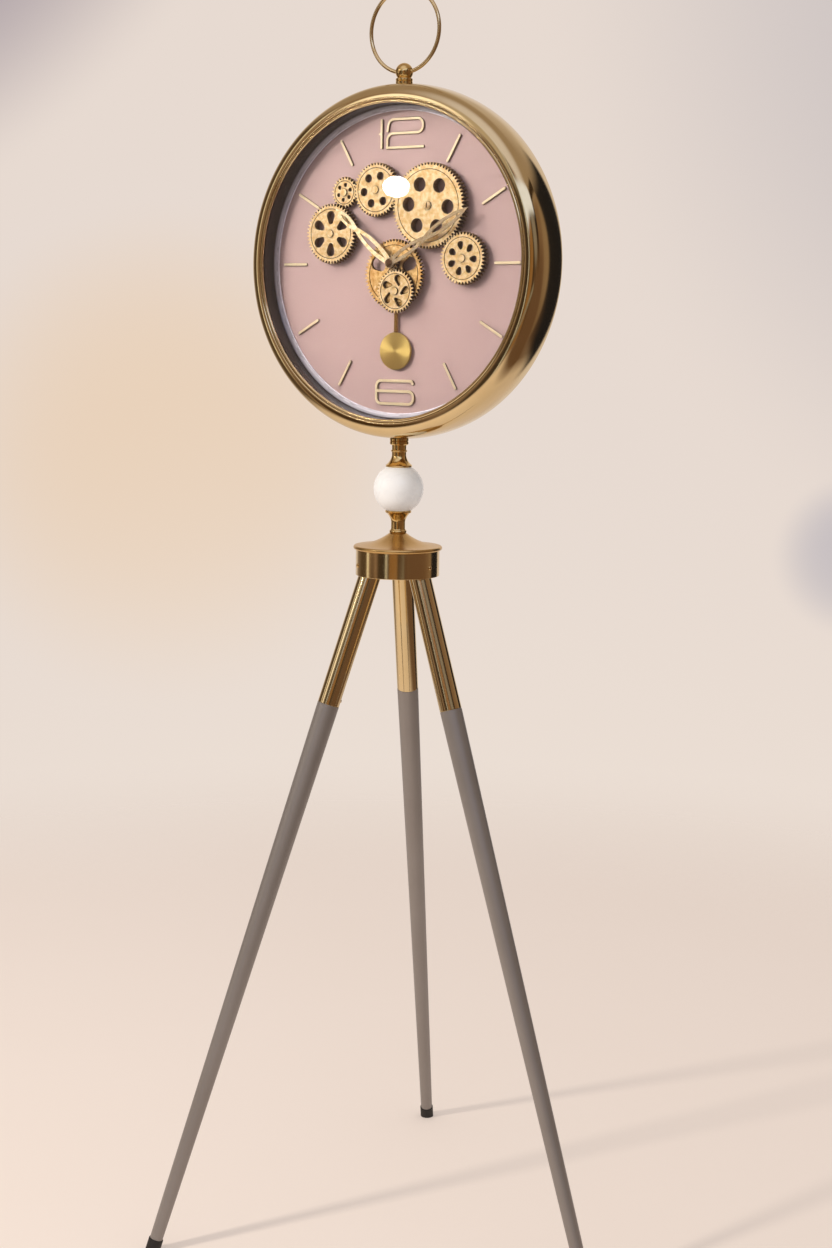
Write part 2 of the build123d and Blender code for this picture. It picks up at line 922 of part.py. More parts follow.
def hand_nut():
    """Domed cap nut on the end of the minute arbor."""
    dome = Pos(0, 0, minute_hand_front) * domed(hand_nut_diameter, hand_nut_edge, hand_nut_height)
    return dome - rod(minute_arbor_diameter, minute_hand_front - 1, minute_hand_front + arbor_tip_length)


# Pendulum


def pendulum_level():
    return pendulum_rod_back + pendulum_rod_diameter / 2


def pendulum_rod():
    """Round rod below an eye that swings on the hands' bush."""
    eye_back = bush_nut_height + seat_gap
    eye_bore = bush_diameter + 2 * running_gap
    eye = tube(pendulum_eye_diameter, eye_bore, eye_back, eye_back + pendulum_eye_thickness)
    rod_top = pendulum_eye_diameter / 2 - pendulum_weld_depth
    rod_end = pendulum_length - bob_diameter / 2
    downward = Pos(0, 0, pendulum_level()) * Rot(90, 0, 0)
    shank = downward * rod(pendulum_rod_diameter, rod_top, rod_end)
    pin = downward * rod(bob_pin_diameter, rod_top, rod_end + bob_pin_length)
    return eye + shank + pin


def pendulum_bob():
    """Spun disc with a shallow cone on its face."""
    radius = bob_diameter / 2
    back = pendulum_level() - bob_edge_thickness / 2
    front = pendulum_level() + bob_edge_thickness / 2
    disc = turned_points(
        (0, back),
        (radius - bob_bevel, back),
        (radius, back + bob_bevel),
        (radius, front - bob_bevel),
        (radius - bob_bevel, front),
        (0, front + bob_bulge_height),
    )
    pin_hole = Pos(0, 0, pendulum_level()) * Rot(-90, 0, 0) * rod(bob_pin_diameter, radius - bob_pin_length, radius + 1)
    return Pos(0, -pendulum_length, 0) * (disc - pin_hole)


# Movement and motor behind the dial


def movement():
    """Quartz movement: a moulded box with an open bay for the cell in its back."""
    front = -dial_thickness
    back = front - movement_depth
    outline = RectangleRounded(movement_width, movement_width, movement_corner_radius)
    box = Pos(0, 0, back) * extrude(outline, movement_depth)
    bay_outline = Rectangle(cell_length + 2 * seat_gap, cell_diameter + 2 * seat_gap)
    bay = Pos(0, cell_bay_centre_y, back - 1) * extrude(bay_outline, movement_depth - cell_bay_floor + 1)
    hour_end = front - hour_tube_tail_length - bearing_spare_depth
    minute_end = front - minute_arbor_tail_length - bearing_spare_depth
    knob_end = back + knob_spindle_length + bearing_spare_depth
    hour_bearing = rod(hour_tube_diameter + 2 * running_gap, hour_end, front + 1)
    minute_bearing = rod(minute_arbor_diameter + 2 * running_gap, minute_end, front + 1)
    knob_hole = rod(knob_spindle_diameter + 2 * running_gap, back - 1, knob_end)
    return box - bay - hour_bearing - minute_bearing - Pos(knob_centre_x, knob_centre_y) * knob_hole


def battery_cell():
    """Round cell lying in its bay, with the raised button at one end."""
    level = -dial_thickness - cell_bay_floor - cell_diameter / 2
    can_end = cell_length / 2 - cell_button_length
    body = rod(cell_diameter, -cell_length / 2, can_end)
    button = rod(cell_button_diameter, can_end, cell_length / 2)
    return Pos(0, cell_bay_centre_y, level) * Rot(0, 90, 0) * (body + button)


def setting_knob():
    back = -dial_thickness - movement_depth
    knob_front = back - seat_gap
    disc = rod(knob_diameter, knob_front - knob_thickness, knob_front)
    for spot in around(knob_diameter / 2, knob_notch_count, 0):
        disc -= Pos(*spot) * rod(knob_notch_diameter, knob_front - knob_thickness - 1, knob_front + 1)
    spindle = rod(knob_spindle_diameter, knob_front, back + knob_spindle_length)
    return Pos(knob_centre_x, knob_centre_y) * (disc + spindle)


def motor_screw_spots():
    return [beyond(great.centre, side * motor_ear_reach, 0) for side in (-1, 1)]


def gear_motor():
    """Geared motor: a round can with two ears and a bearing boss through the dial."""
    front = -dial_thickness
    can = rod(motor_diameter, front - motor_depth, front)
    ear_outline = SlotOverall(2 * motor_ear_reach + motor_ear_width, motor_ear_width)
    ears = Pos(0, 0, front - motor_ear_thickness) * extrude(ear_outline, motor_ear_thickness)
    boss = rod(motor_boss_diameter, front, post_flange_height)
    bearing = rod(post_diameter + 2 * running_gap, front - motor_bearing_depth - seat_gap, wheel_back)
    body = Pos(*great.centre) * (can + ears + boss - bearing)
    for spot in motor_screw_spots():
        body -= Pos(*spot) * rod(motor_screw_diameter, front - 2 * motor_ear_thickness, front + 1)
    return body


def motor_screws():
    seat = -dial_thickness - motor_ear_thickness
    head = rod(motor_screw_head_diameter, seat - motor_screw_head_height, seat)
    screw = head + rod(motor_screw_diameter, seat, 0)
    return Compound(children=[Pos(*spot) * screw for spot in motor_screw_spots()])


# Finial and ring


def finial():
    """Ball on a grooved collar, drilled across for the ring and studded into the case."""
    collar = finial_collar_diameter / 2
    neck = finial_neck_diameter / 2
    base = case_top_height - 2 * case_wall
    groove = case_top_height + finial_groove_height
    collar_top = case_top_height + finial_collar_height
    body = turned_points(
        (0, base),
        (collar, base),
        (collar, groove - finial_groove_half_width),
        (collar - finial_groove_depth, groove),
        (collar, groove + finial_groove_half_width),
        (collar, collar_top - finial_edge),
        (collar - finial_edge, collar_top),
        (neck, collar_top),
        (neck, ring_pivot_height),
        (0, ring_pivot_height),
    )
    ball = Pos(0, 0, ring_pivot_height) * Sphere(finial_ball_diameter / 2)
    stud = rod(stem_rod_diameter, case_top_height - case_wall - stem_nut_height - stem_rod_end, case_top_height)
    hole = rod(ring_wire_diameter + ring_sag + 2 * running_gap, -finial_ball_diameter, finial_ball_diameter)
    ring_hole = Pos(0, 0, ring_pivot_height) * Rot(0, 90, 0) * hole
    return (body + ball - case_form()).solids().sort_by(Axis.Z)[-1] - ring_hole + stud


def bail_ring():
    """Round wire ring; its pivot line lies halfway up the arc that the ball covers."""
    centre_height = ring_pivot_height - ring_sag / 2 + ring_radius
    return Pos(0, 0, centre_height) * Rot(90, 0, 0) * Torus(ring_radius, ring_wire_diameter / 2)


# Stem


def marble_ball():
    ball = Pos(0, 0, ball_centre_height) * Sphere(ball_diameter / 2)
    return ball - rod(stem_rod_diameter, ball_centre_height - ball_diameter, ball_centre_height + ball_diameter)


def flared_rim(seat, outward, neck):
    """Outline of a collar's end: down a hollow flare from its neck, and round the rim to its seat on the ball."""
    rim = collar_rim_diameter / 2
    rim_far = seat + outward * collar_rim_height
    flare_far = rim_far + outward * collar_flare_height
    flare_middle = (neck + collar_flare_hollow, (rim_far + flare_far) / 2 - outward * collar_rim_bevel / 2)
    flare = ThreePointArc((neck, flare_far), flare_middle, (rim, rim_far))
    edge = Polyline((rim, rim_far), (rim, seat + outward * collar_rim_bevel), (collar_seat_radius, seat))
    return [flare, *edge.edges()], flare_far


def upper_collar():
    """Turned collar between the case and the ball: grooved flange, beaded neck and flare."""
    neck = upper_neck_diameter / 2
    bore = stem_rod_diameter / 2
    flange = flange_diameter / 2
    flare_edges, flare_top = flared_rim(upper_seat_height, 1, neck)
    flange_bottom = case_bottom_height - flange_height
    groove = case_bottom_height - flange_groove_drop
    bead_middle = (flare_top + flange_bottom) / 2 - neck_bead_drop
    bead_top = bead_middle + neck_bead_height / 2
    bead_bottom = bead_middle - neck_bead_height / 2
    sides = Polyline(
        (collar_seat_radius, upper_seat_height),
        (bore, upper_seat_height),
        (bore, case_bottom_height + 2 * case_wall),
        (flange, case_bottom_height + 2 * case_wall),
        (flange, groove + flange_groove_half_width),
        (flange - flange_groove_depth, groove),
        (flange, groove - flange_groove_half_width),
        (flange, flange_bottom + flange_bevel),
        (flange - flange_bevel, flange_bottom),
        (neck, flange_bottom),
        (neck, bead_top),
    )
    bead = ThreePointArc((neck, bead_top), (neck + neck_bead_bulge, bead_middle), (neck, bead_bottom))
    lower_neck = Line((neck, bead_bottom), (neck, flare_top))
    collar = turned(*sides.edges(), bead, lower_neck, *flare_edges)
    collar -= Pos(0, 0, ball_centre_height) * Sphere(ball_diameter / 2)
    return (collar - case_form()).solids().sort_by(Axis.Z)[0]


def lower_collar():
    """Turned collar under the ball: flare, neck and a bead that stands on the cap."""
    neck = lower_neck_diameter / 2
    bore = stem_rod_diameter / 2
    bead = lower_bead_diameter / 2
    bead_inner = bead - flange_bevel
    bead_top = cap_top_height + lower_bead_height
    bead_middle = (bead, cap_top_height + lower_bead_height / 2)
    flare_edges, flare_bottom = flared_rim(lower_seat_height, -1, neck)
    foot = ThreePointArc((bead_inner, cap_top_height), bead_middle, (bead_inner, bead_top))
    sides = Polyline(
        (collar_seat_radius, lower_seat_height),
        (bore, lower_seat_height),
        (bore, cap_top_height),
        (bead_inner, cap_top_height),
    )
    neck_side = Polyline((bead_inner, bead_top), (neck, bead_top + flange_bevel), (neck, flare_bottom))
    collar = turned(*sides.edges(), foot, *neck_side.edges(), *flare_edges)
    return collar - Pos(0, 0, ball_centre_height) * Sphere(ball_diameter / 2)


def dome_cap():
    """Hollow-curved cap over the hub, with a rounded rim."""
    bore = stem_rod_diameter / 2
    rim = cap_rim_diameter / 2
    rim_inner = rim - cap_rim_round
    crown = lower_bead_diameter / 2
    rim_top = hub_top_height + cap_rim_height
    rim_middle = (rim, hub_top_height + cap_rim_height / 2)
    hollow = (cap_hollow_radius, hub_top_height + cap_hollow_rise)
    shoulder = ThreePointArc((crown, cap_top_height), hollow, (rim_inner, rim_top))
    edge = ThreePointArc((rim_inner, rim_top), rim_middle, (rim_inner, hub_top_height))
    base = Polyline(
        (rim_inner, hub_top_height),
        (bore, hub_top_height),
        (bore, cap_top_height),
        (crown, cap_top_height),
    )
    return turned(shoulder, edge, *base.edges())


def stem_rod():
    bottom = hub_bottom_height + hub_nut_pocket_depth - stem_nut_height - stem_rod_end
    return rod(stem_rod_diameter, bottom, case_bottom_height + case_wall + seat_gap + stem_nut_height + stem_rod_end)


def stem_nuts():
    """Nuts inside the case, under the finial and on the stem rod, and one in the hub's pocket."""
    inside_case = case_bottom_height + case_wall + 1.5 * seat_gap
    under_finial = case_top_height - case_wall - 1.5 * seat_gap - stem_nut_height
    in_hub = hub_bottom_height + hub_nut_pocket_depth - stem_nut_height
    nuts = [
        hex_nut(stem_nut_width, stem_rod_diameter, seat, seat + stem_nut_height)
        for seat in (inside_case, under_finial, in_hub)
    ]
    return Compound(children=nuts)


# Legs


class Leg:
    """A leg's own frame: origin on the floor, +Z up the leg, +Y to its inner side."""

    def __init__(self, number):
        angle = radians(first_leg_angle + 120 * number)
        self.screw_turn = sleeve_screw_turns[number]
        self.outward = Vector(sin(angle), -cos(angle), 0)
        self.sideways = Vector(cos(angle), sin(angle), 0)
        foot = self.outward * foot_circle_radius
        crown = self.outward * leg_top_radius + Vector(0, 0, hub_bottom_height)
        self.length = (crown - foot).length
        self.joint = self.length - leg_joint_below_hub
        self.top = self.length + leg_socket_depth
        self.plane = Plane(origin=foot, x_dir=self.sideways, z_dir=crown - foot)

    def stand(self, shape):
        return self.plane.location * shape


legs = {name: Leg(number) for number, name in enumerate(leg_names)}


def leg_screw(reach):
    """Round-head screw along +Z, its head seated at Z = 0."""
    head = domed(leg_screw_head_diameter, leg_screw_edge, leg_screw_head_height)
    return head + rod(leg_screw_diameter, -reach, 0)


def hub_screw_place(leg):
    seat = leg.outward * (hub_diameter / 2) + Vector(0, 0, hub_bottom_height + hub_screw_rise)
    return Plane(origin=seat, x_dir=leg.sideways, z_dir=leg.outward).location


def sleeve_screw_place(leg):
    seat = Pos(0, leg_tube_diameter / 2, leg.joint + sleeve_screw_above_joint) * Rot(-90, 0, 0)
    return Rot(0, 0, leg.screw_turn) * seat


def leg_screws():
    """Three through the hub into the tubes, and three through the tubes into the legs."""
    screws = []
    for leg in legs.values():
        screws.append(hub_screw_place(leg) * leg_screw(leg_screw_reach))
        screws.append(leg.stand(sleeve_screw_place(leg) * leg_screw(2 * leg_tube_wall)))
    return Compound(children=screws)


def hub_drum():
    drum = rod(hub_diameter, hub_bottom_height, hub_top_height)
    drum -= rod(stem_rod_diameter, hub_bottom_height - 1, hub_top_height + 1)
    drum -= rod(hub_nut_pocket_diameter, hub_bottom_height - 1, hub_bottom_height + hub_nut_pocket_depth)
    for leg in legs.values():
        drum -= leg.stand(rod(leg_tube_diameter, leg.length - leg_tube_diameter, leg.top))
        drum -= hub_screw_place(leg) * rod(leg_screw_diameter, -leg_screw_reach, 1)
    return drum


def leg_sleeve(leg):
    """Brass tube from the hub's socket down to the joint with the tapered leg."""
    sleeve = tube(leg_tube_diameter, leg_tube_diameter - 2 * leg_tube_wall, leg.joint, leg.top)
    sleeve -= sleeve_screw_place(leg) * rod(leg_screw_diameter, -3 * leg_tube_wall, 1)
    return leg.stand(sleeve) - hub_screw_place(leg) * rod(leg_screw_diameter, -leg_screw_reach, 1)


def leg_lower(leg):
    """Tapered tube with a turned-down spigot inside the brass tube above."""
    foot = leg_foot_diameter / 2
    spigot = leg_tube_diameter / 2 - leg_tube_wall
    top_end = leg.joint + leg_spigot_length
    outside = turned_points(
        (0, foot_tip_sole),
        (foot, foot_tip_sole),
        (foot, foot_tip_length),
        (leg_tube_diameter / 2, leg.joint),
        (spigot, leg.joint),
        (spigot, top_end),
        (0, top_end),
    )
    inside = turned_points(
        (0, foot_tip_length),
        (foot - leg_tube_wall, foot_tip_length),
        (spigot - leg_tube_wall, leg.joint),
        (spigot - leg_tube_wall, top_end + 1),
        (0, top_end + 1),
    )
    screw_hole = sleeve_screw_place(leg) * rod(leg_screw_diameter, -3 * leg_tube_wall, 1)
    return leg.stand(outside - inside - screw_hole)


def foot_tip(leg):
    """Rubber tip, cut level with the floor."""
    below = foot_tip_diameter
    tip = rod(foot_tip_diameter, -below, foot_tip_length) - rod(leg_foot_diameter, foot_tip_sole, foot_tip_length + 1)
    floor_cut = Box(4 * below, 4 * below, 4 * below, align=(Align.CENTER, Align.CENTER, Align.MAX))
    return leg.stand(tip) - Pos(leg.outward * foot_circle_radius) * floor_cut


# The train. The great wheel drives two others, and the last two follow on.
great = Wheel(great_teeth, (great_centre_x, great_centre_y), 0, wheel_back, great_thickness)
top = great.meshed(top_teeth, top_direction, wheel_back, top_thickness)
small = top.meshed(small_teeth, small_direction, wheel_back, small_thickness)
left = small.meshed(left_teeth, left_direction, wheel_back, left_thickness)
right = great.meshed(right_teeth, right_direction, wheel_back, right_thickness)
pinion = Wheel(pinion_teeth, (0, 0), 0, pinion_back, pinion_thickness)
minute = pinion.meshed(minute_teeth, minute_direction, minute_back, minute_thickness)
plate_wheel = Wheel(plate_teeth, (plate_centre_x, plate_centre_y), 0, plate_back, plate_thickness)
post_wheels = (top, small, left, right)

save("case_ring", case_ring())
save_on_face("bezel_bead", bezel_bead())
save_on_face("glass_lens", rod(2 * inset_radius, glass_back, glass_front))
save_on_face("inner_wall", inner_wall())
save_on_face("dial_plate", dial_plate())
save_on_face("spacer_ring", spacer_ring())
save_on_face("back_cover", back_cover())
save_on_face("access_door", access_door())
save_on_face("cover_screws", cover_screws())
save_on_face("numeral_12", numeral_12())
save_on_face("numeral_6", numeral_6())
save_on_face("hour_batons", hour_batons())

save_on_face("gear_great", great_wheel())
save_on_face("gear_top", top_wheel())
save_on_face("gear_small", small_wheel())
save_on_face("gear_left", left_wheel())
save_on_face("gear_right", right_wheel())
save_on_face("gear_minute", minute_wheel())
save_on_face("centre_plate", centre_plate())
save_on_face("plate_pillars", plate_pillars())
save_on_face("gear_posts", gear_posts())
save_on_face("post_nuts", post_nuts())
save_on_face("minute_post", minute_post())
save_on_face("gear_caps", gear_caps())
save_on_face("great_arbor", great_arbor())
save_on_face("great_bolt", great_bolt())

save_on_face("arbor_bush", arbor_bush())
save_on_face("bush_nut", hex_nut(bush_nut_width, bush_diameter, 0, bush_nut_height))
save_on_face("hour_tube", hour_tube())
save_on_face("hour_pinion", pinion.solid(hour_tube_diameter, []))
save_on_face("minute_arbor", minute_arbor())
save_on_face("hour_hand", hour_hand())
save_on_face("minute_hand", minute_hand())
save_on_face("hand_nut", hand_nut())
save_on_face("pendulum_rod", pendulum_rod())
save_on_face("pendulum_bob", pendulum_bob())

save_on_face("movement", movement())
save_on_face("battery_cell", battery_cell())
save_on_face("setting_knob", setting_knob())
save_on_face("gear_motor", gear_motor())
save_on_face("motor_screws", motor_screws())

save("finial", finial())
save("bail_ring", bail_ring())
save("upper_collar", upper_collar())
save("marble_ball", marble_ball())
save("lower_collar", lower_collar())
save("dome_cap", dome_cap())
save("stem_rod", stem_rod())
save("stem_nuts", stem_nuts())
save("hub_drum", hub_drum())
save("leg_screws", leg_screws())
for name, leg in legs.items():
    save("leg_sleeve_" + name, leg_sleeve(leg))
    save("leg_lower_" + name, leg_lower(leg))
    save("foot_tip_" + name, foot_tip(leg))
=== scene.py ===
import bmesh
import bpy
from math import asin, cos, pi, radians, sin, sqrt, tan
from mathutils import Matrix, Vector


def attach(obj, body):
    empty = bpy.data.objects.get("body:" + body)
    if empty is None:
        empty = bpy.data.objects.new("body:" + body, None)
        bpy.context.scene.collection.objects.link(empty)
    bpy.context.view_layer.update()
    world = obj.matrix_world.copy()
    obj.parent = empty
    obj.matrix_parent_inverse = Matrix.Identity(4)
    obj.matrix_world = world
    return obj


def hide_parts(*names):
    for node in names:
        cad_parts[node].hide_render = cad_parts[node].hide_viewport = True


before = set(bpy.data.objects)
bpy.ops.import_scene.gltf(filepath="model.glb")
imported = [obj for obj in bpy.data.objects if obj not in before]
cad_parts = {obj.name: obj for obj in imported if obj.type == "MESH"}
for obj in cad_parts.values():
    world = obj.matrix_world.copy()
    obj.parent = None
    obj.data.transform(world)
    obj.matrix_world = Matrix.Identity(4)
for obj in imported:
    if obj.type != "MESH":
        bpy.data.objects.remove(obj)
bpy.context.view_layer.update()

# Rubber feet
# Three black rubber tips, moulded as cups and pushed over the ends of the legs.
# Their soles are cut level with the floor, and a small round takes off their top edge.
mm = 0.001
sharp_corner = radians(40)
foot_circle_radius = 339
leg_top_radius = 39
first_leg_angle = -36.5
leg_names = ("left", "right", "back")
hub_bottom_height = 911
leg_foot_diameter = 17.5
foot_tip_diameter = 19.8
foot_tip_length = 19
foot_tip_rounding = 1.6
foot_tip_lip = 1
foot_tip_dent = 2
corner_points = 5


def linear(hex_colour):
    """A colour written as sRGB hex, as the linear colour that a shader takes."""
    channels = [int(hex_colour[at : at + 2], 16) / 255 for at in (1, 3, 5)]
    return (*[c / 12.92 if c <= 0.04045 else ((c + 0.055) / 1.055) ** 2.4 for c in channels], 1)


def wire(material, node, sockets):
    """Sets or links a node's sockets.

    A node given as a value stands for its first output in use, and a text for a hex colour.
    """
    for socket, value in sockets.items():
        if isinstance(socket, str):
            socket = next(k for k, own in enumerate(node.inputs) if own.name == socket and own.enabled)
        if isinstance(value, bpy.types.Node):
            value = next(output for output in value.outputs if output.enabled)
        if isinstance(value, str):
            value = linear(value)
        if isinstance(value, bpy.types.NodeSocket):
            material.node_tree.links.new(value, node.inputs[socket])
        else:
            node.inputs[socket].default_value = value


def add(material, kind, sockets, **settings):
    """Adds a node to a material, or to the world, with its settings, values and links."""
    node = material.node_tree.nodes.new("ShaderNode" + kind)
    for name, value in settings.items():
        setattr(node, name, value)
    wire(material, node, sockets)
    return node


def feed(material, shader, **values):
    """Sets or links the sockets of a material's shader."""
    wire(material, shader, {name.replace("_", " "): value for name, value in values.items()})


def new_material(name, **values):
    """A material, its shader with plain values on its own sockets, and each point's place."""
    material = bpy.data.materials.new(name)
    material.use_nodes = True
    shader = material.node_tree.nodes["Principled BSDF"]
    feed(material, shader, **values)
    return material, shader, add(material, "TexCoord", {}).outputs["Object"]


def clouded(material, place, pitch, detail, light, dark):
    """Two shades that drift into each other over a pitch in mm, and the drift itself."""
    cloud = add(material, "TexNoise", {"Vector": place, "Scale": 1 / (pitch * mm), "Detail": detail})
    return add(material, "Mix", {"Factor": cloud, "A": light, "B": dark}, data_type="RGBA"), cloud


def surface(material, shader, colour, polish=None, relief=None):
    """Gives a material its colour, its polish and its relief.

    The polish is a pattern with its least and greatest roughness, and the relief is a pattern
    with its height in mm and its strength.
    """
    feed(material, shader, Base_Color=colour)
    if polish:
        pattern, least, greatest = polish
        spread = add(material, "MapRange", {"Value": pattern, "To Min": least, "To Max": greatest})
        feed(material, shader, Roughness=spread)
    if relief:
        pattern, height, strength = relief
        bump = add(material, "Bump", {"Height": pattern, "Distance": height * mm, "Strength": strength})
        feed(material, shader, Normal=bump)


def rounded(points, radius):
    """A closed outline with its corners rounded off, apart from flat ones and those on the axis."""
    flat = radians(165)
    longest_share = 0.45
    outline = []
    for k, corner in enumerate(points):
        before = Vector(points[k - 1]) - Vector(corner)
        after = Vector(points[(k + 1) % len(points)]) - Vector(corner)
        turn = before.angle(after) if before.length and after.length else pi
        if corner[0] == 0 or turn > flat:
            outline.append(tuple(corner))
            continue
        reach = min(radius / tan(turn / 2), longest_share * min(before.length, after.length))
        start = Vector(corner) + before.normalized() * reach
        end = Vector(corner) + after.normalized() * reach
        for step in range(corner_points):
            t = step / (corner_points - 1)
            at = start * (1 - t) ** 2 + Vector(corner) * 2 * t * (1 - t) + end * t**2
            outline.append(tuple(at))
    return outline


def finished(shape, name):
    """The mesh of a shape that is done."""
    mesh = bpy.data.meshes.new(name)
    shape.to_mesh(mesh)
    shape.free()
    return mesh


def put_up(name, data):
    """An object that stands in the scene."""
    made = bpy.data.objects.new(name, data)
    bpy.context.scene.collection.objects.link(made)
    return made


def turned(name, outline, place=Matrix(), steps=96):
    """A piece turned on a lathe: an outline of (radius, height) in mm, swung round its place's Z axis.

    Each point keeps where it was on the lathe as the attribute "lathe", for the marks of the tool.
    """
    shape = bmesh.new()
    rows = []
    for radius, height in outline:
        angles = [2 * pi * k / steps for k in range(steps if radius > 0 else 1)]
        spots = [(radius * cos(a) * mm, radius * sin(a) * mm, height * mm) for a in angles]
        rows.append([shape.verts.new(spot) for spot in spots])
    for row, after in zip(rows, rows[1:] + rows[:1]):
        for k in range(steps):
            left, right = k, (k + 1) % steps
            near_side = [row[left % len(row)], row[right % len(row)]]
            far_side = [after[right % len(after)], after[left % len(after)]]
            corners = list(dict.fromkeys(near_side + far_side))
            if len(corners) > 2:
                shape.faces.new(corners)
    bmesh.ops.recalc_face_normals(shape, faces=shape.faces)
    mesh = finished(shape, name)
    on_lathe = mesh.attributes.new("lathe", "FLOAT_VECTOR", "POINT")
    on_lathe.data.foreach_set("vector", [value for vertex in mesh.vertices for value in vertex.co])
    mesh.transform(place)
    mesh.shade_smooth()
    mesh.set_sharp_from_angle(angle=sharp_corner)
    piece = put_up(name, mesh)
    piece.modifiers.new("face weighted normals", "WEIGHTED_NORMAL").keep_sharp = True
    return piece


def fit(piece, material, body, slot, *nodes):
    """Gives a piece its finish and its place in the clock, where it stands for the CAD nodes named."""
    piece.data.materials.clear()
    piece.data.materials.append(material)
    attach(piece, body)
    if nodes:
        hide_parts(*nodes)


def leg_stand(number):
    """Where a leg stands: its own origin on the floor, its Z axis up the leg."""
    angle = radians(first_leg_angle + 120 * number)
    outward = Vector((sin(angle), -cos(angle), 0))
    sideways = Vector((cos(angle), sin(angle), 0))
    foot = outward * foot_circle_radius
    upward = (outward * leg_top_radius + Vector((0, 0, hub_bottom_height)) - foot).normalized()
    inward = upward.cross(sideways)
    turn = Matrix((sideways, inward, upward)).transposed().to_4x4()
    return Matrix.Translation(foot * mm) @ turn


# moulded rubber: matt, nearly black, with a faint grain that keeps it from looking like paint
foot_rubber, shader, place = new_material("moulded black rubber", Roughness=0.62)
grain = add(foot_rubber, "TexNoise", {"Vector": place, "Scale": 1 / (0.7 * mm), "Detail": 2.0})
colour, _ = clouded(foot_rubber, place, 9, 4.0, "#14110F", "#2A2521")
surface(foot_rubber, shader, colour, relief=(grain, 0.1, 0.6))

foot_tip_outline = rounded(
    [
        (0, -foot_tip_diameter),
        (foot_tip_diameter / 2, -foot_tip_diameter),
        (foot_tip_diameter / 2, foot_tip_length),
        (leg_foot_diameter / 2 - foot_tip_lip, foot_tip_length),
        (leg_foot_diameter / 2 - foot_tip_lip, foot_tip_length - foot_tip_dent),
        (0, foot_tip_length - foot_tip_dent),
    ],
    foot_tip_rounding,
)
for number, name in enumerate(leg_names):
    tip = turned("rubber_foot_" + name, foot_tip_outline, leg_stand(number), steps=64)
    # the sole lies flat on the floor
    shape = bmesh.new()
    shape.from_mesh(tip.data)
    whole = shape.verts[:] + shape.edges[:] + shape.faces[:]
    cut = bmesh.ops.bisect_plane(shape, geom=whole, plane_co=(0, 0, 0), plane_no=(0, 0, 1), clear_inner=True)
    rim = [edge for edge in cut["geom_cut"] if isinstance(edge, bmesh.types.BMEdge)]
    bmesh.ops.holes_fill(shape, edges=rim)
    shape.to_mesh(tip.data)
    shape.free()
    tip.data.set_sharp_from_angle(angle=sharp_corner)
    fit(tip, foot_rubber, "stand", "foot_rubber", "foot_tip_" + name)


# Lower legs
# Tapered steel tubes in a satin warm grey lacquer, baked on. Each slides up into
# the brass tube above it on a turned-down end, with a fine step at the joint.
leg_tube_diameter = 29.4
leg_tube_wall = 1.5
leg_socket_depth = 26
leg_end_above_floor = 6
leg_joint_below_hub = 180
leg_spigot_length = 70
leg_length = sqrt((foot_circle_radius - leg_top_radius) ** 2 + hub_bottom_height**2)
leg_joint = leg_length - leg_joint_below_hub
leg_edge = 0.5

# baked lacquer over steel: a soft broad sheen, slightly uneven like fine orange peel
leg_lacquer, shader, place = new_material("warm grey satin lacquer", Metallic=0.5)
feed(leg_lacquer, shader, Coat_Weight=0.1, Coat_Roughness=0.3)
peel = add(leg_lacquer, "TexNoise", {"Vector": place, "Scale": 1 / (1.6 * mm), "Detail": 2.0})
colour, _ = clouded(leg_lacquer, place, 90, 3.0, "#8E8681", "#9B9490")
surface(leg_lacquer, shader, colour, polish=(peel, 0.38, 0.5), relief=(peel, 0.04, 0.5))

spigot = leg_tube_diameter / 2 - leg_tube_wall
leg_outline = rounded(
    [
        (0, leg_end_above_floor),
        (leg_foot_diameter / 2, leg_end_above_floor),
        (leg_foot_diameter / 2, foot_tip_length),
        (leg_tube_diameter / 2, leg_joint - leg_edge / 2),
        (spigot, leg_joint),
        (spigot, leg_joint + leg_spigot_length),
        (0, leg_joint + leg_spigot_length),
    ],
    leg_edge,
)
for number, name in enumerate(leg_names):
    leg = turned("grey_leg_" + name, leg_outline, leg_stand(number), steps=128)
    fit(leg, leg_lacquer, "stand", "leg_grey", "leg_lower_" + name)


# Brass leg tubes
# Drawn brass tubes, polished and lacquered. The upper ends sit in sockets in the hub,
# and the die that they were drawn through leaves faint lines along them.
sleeve_edge = 0.4


def drawn_brass(name, light, dark, roughness, line_pitch):
    """Brass drawn through a die: mirror bright, with faint lines along it that stretch its highlights."""
    brass, shader, place = new_material(name, Metallic=1.0)
    lathe = add(brass, "Attribute", {}, attribute_name="lathe")
    along = add(brass, "VectorMath", {0: lathe.outputs["Vector"], 1: (1, 1, 0.003)}, operation="MULTIPLY")
    lines = add(brass, "TexNoise", {"Vector": along, "Scale": 1 / (line_pitch * mm), "Detail": 2.0})
    colour, cloud = clouded(brass, place, 35, 4.0, light, dark)
    surface(brass, shader, colour, (cloud, roughness, roughness + 0.06), relief=(lines, 0.008, 0.4))
    return brass


sleeve_brass = drawn_brass("drawn brass tube", "#E0CBA0", "#D6BD8C", roughness=0.1, line_pitch=2.6)
sleeve_outer = leg_tube_diameter / 2
sleeve_inner = sleeve_outer - leg_tube_wall
sleeve_top = leg_length + leg_socket_depth
sleeve_corners = [
    (sleeve_inner, leg_joint),
    (sleeve_outer, leg_joint),
    (sleeve_outer, sleeve_top),
    (sleeve_inner, sleeve_top),
]
for number, name in enumerate(leg_names):
    sleeve = turned("brass_tube_" + name, rounded(sleeve_corners, sleeve_edge), leg_stand(number), steps=128)
    fit(sleeve, sleeve_brass, "stand", "sleeve_brass", "leg_sleeve_" + name)


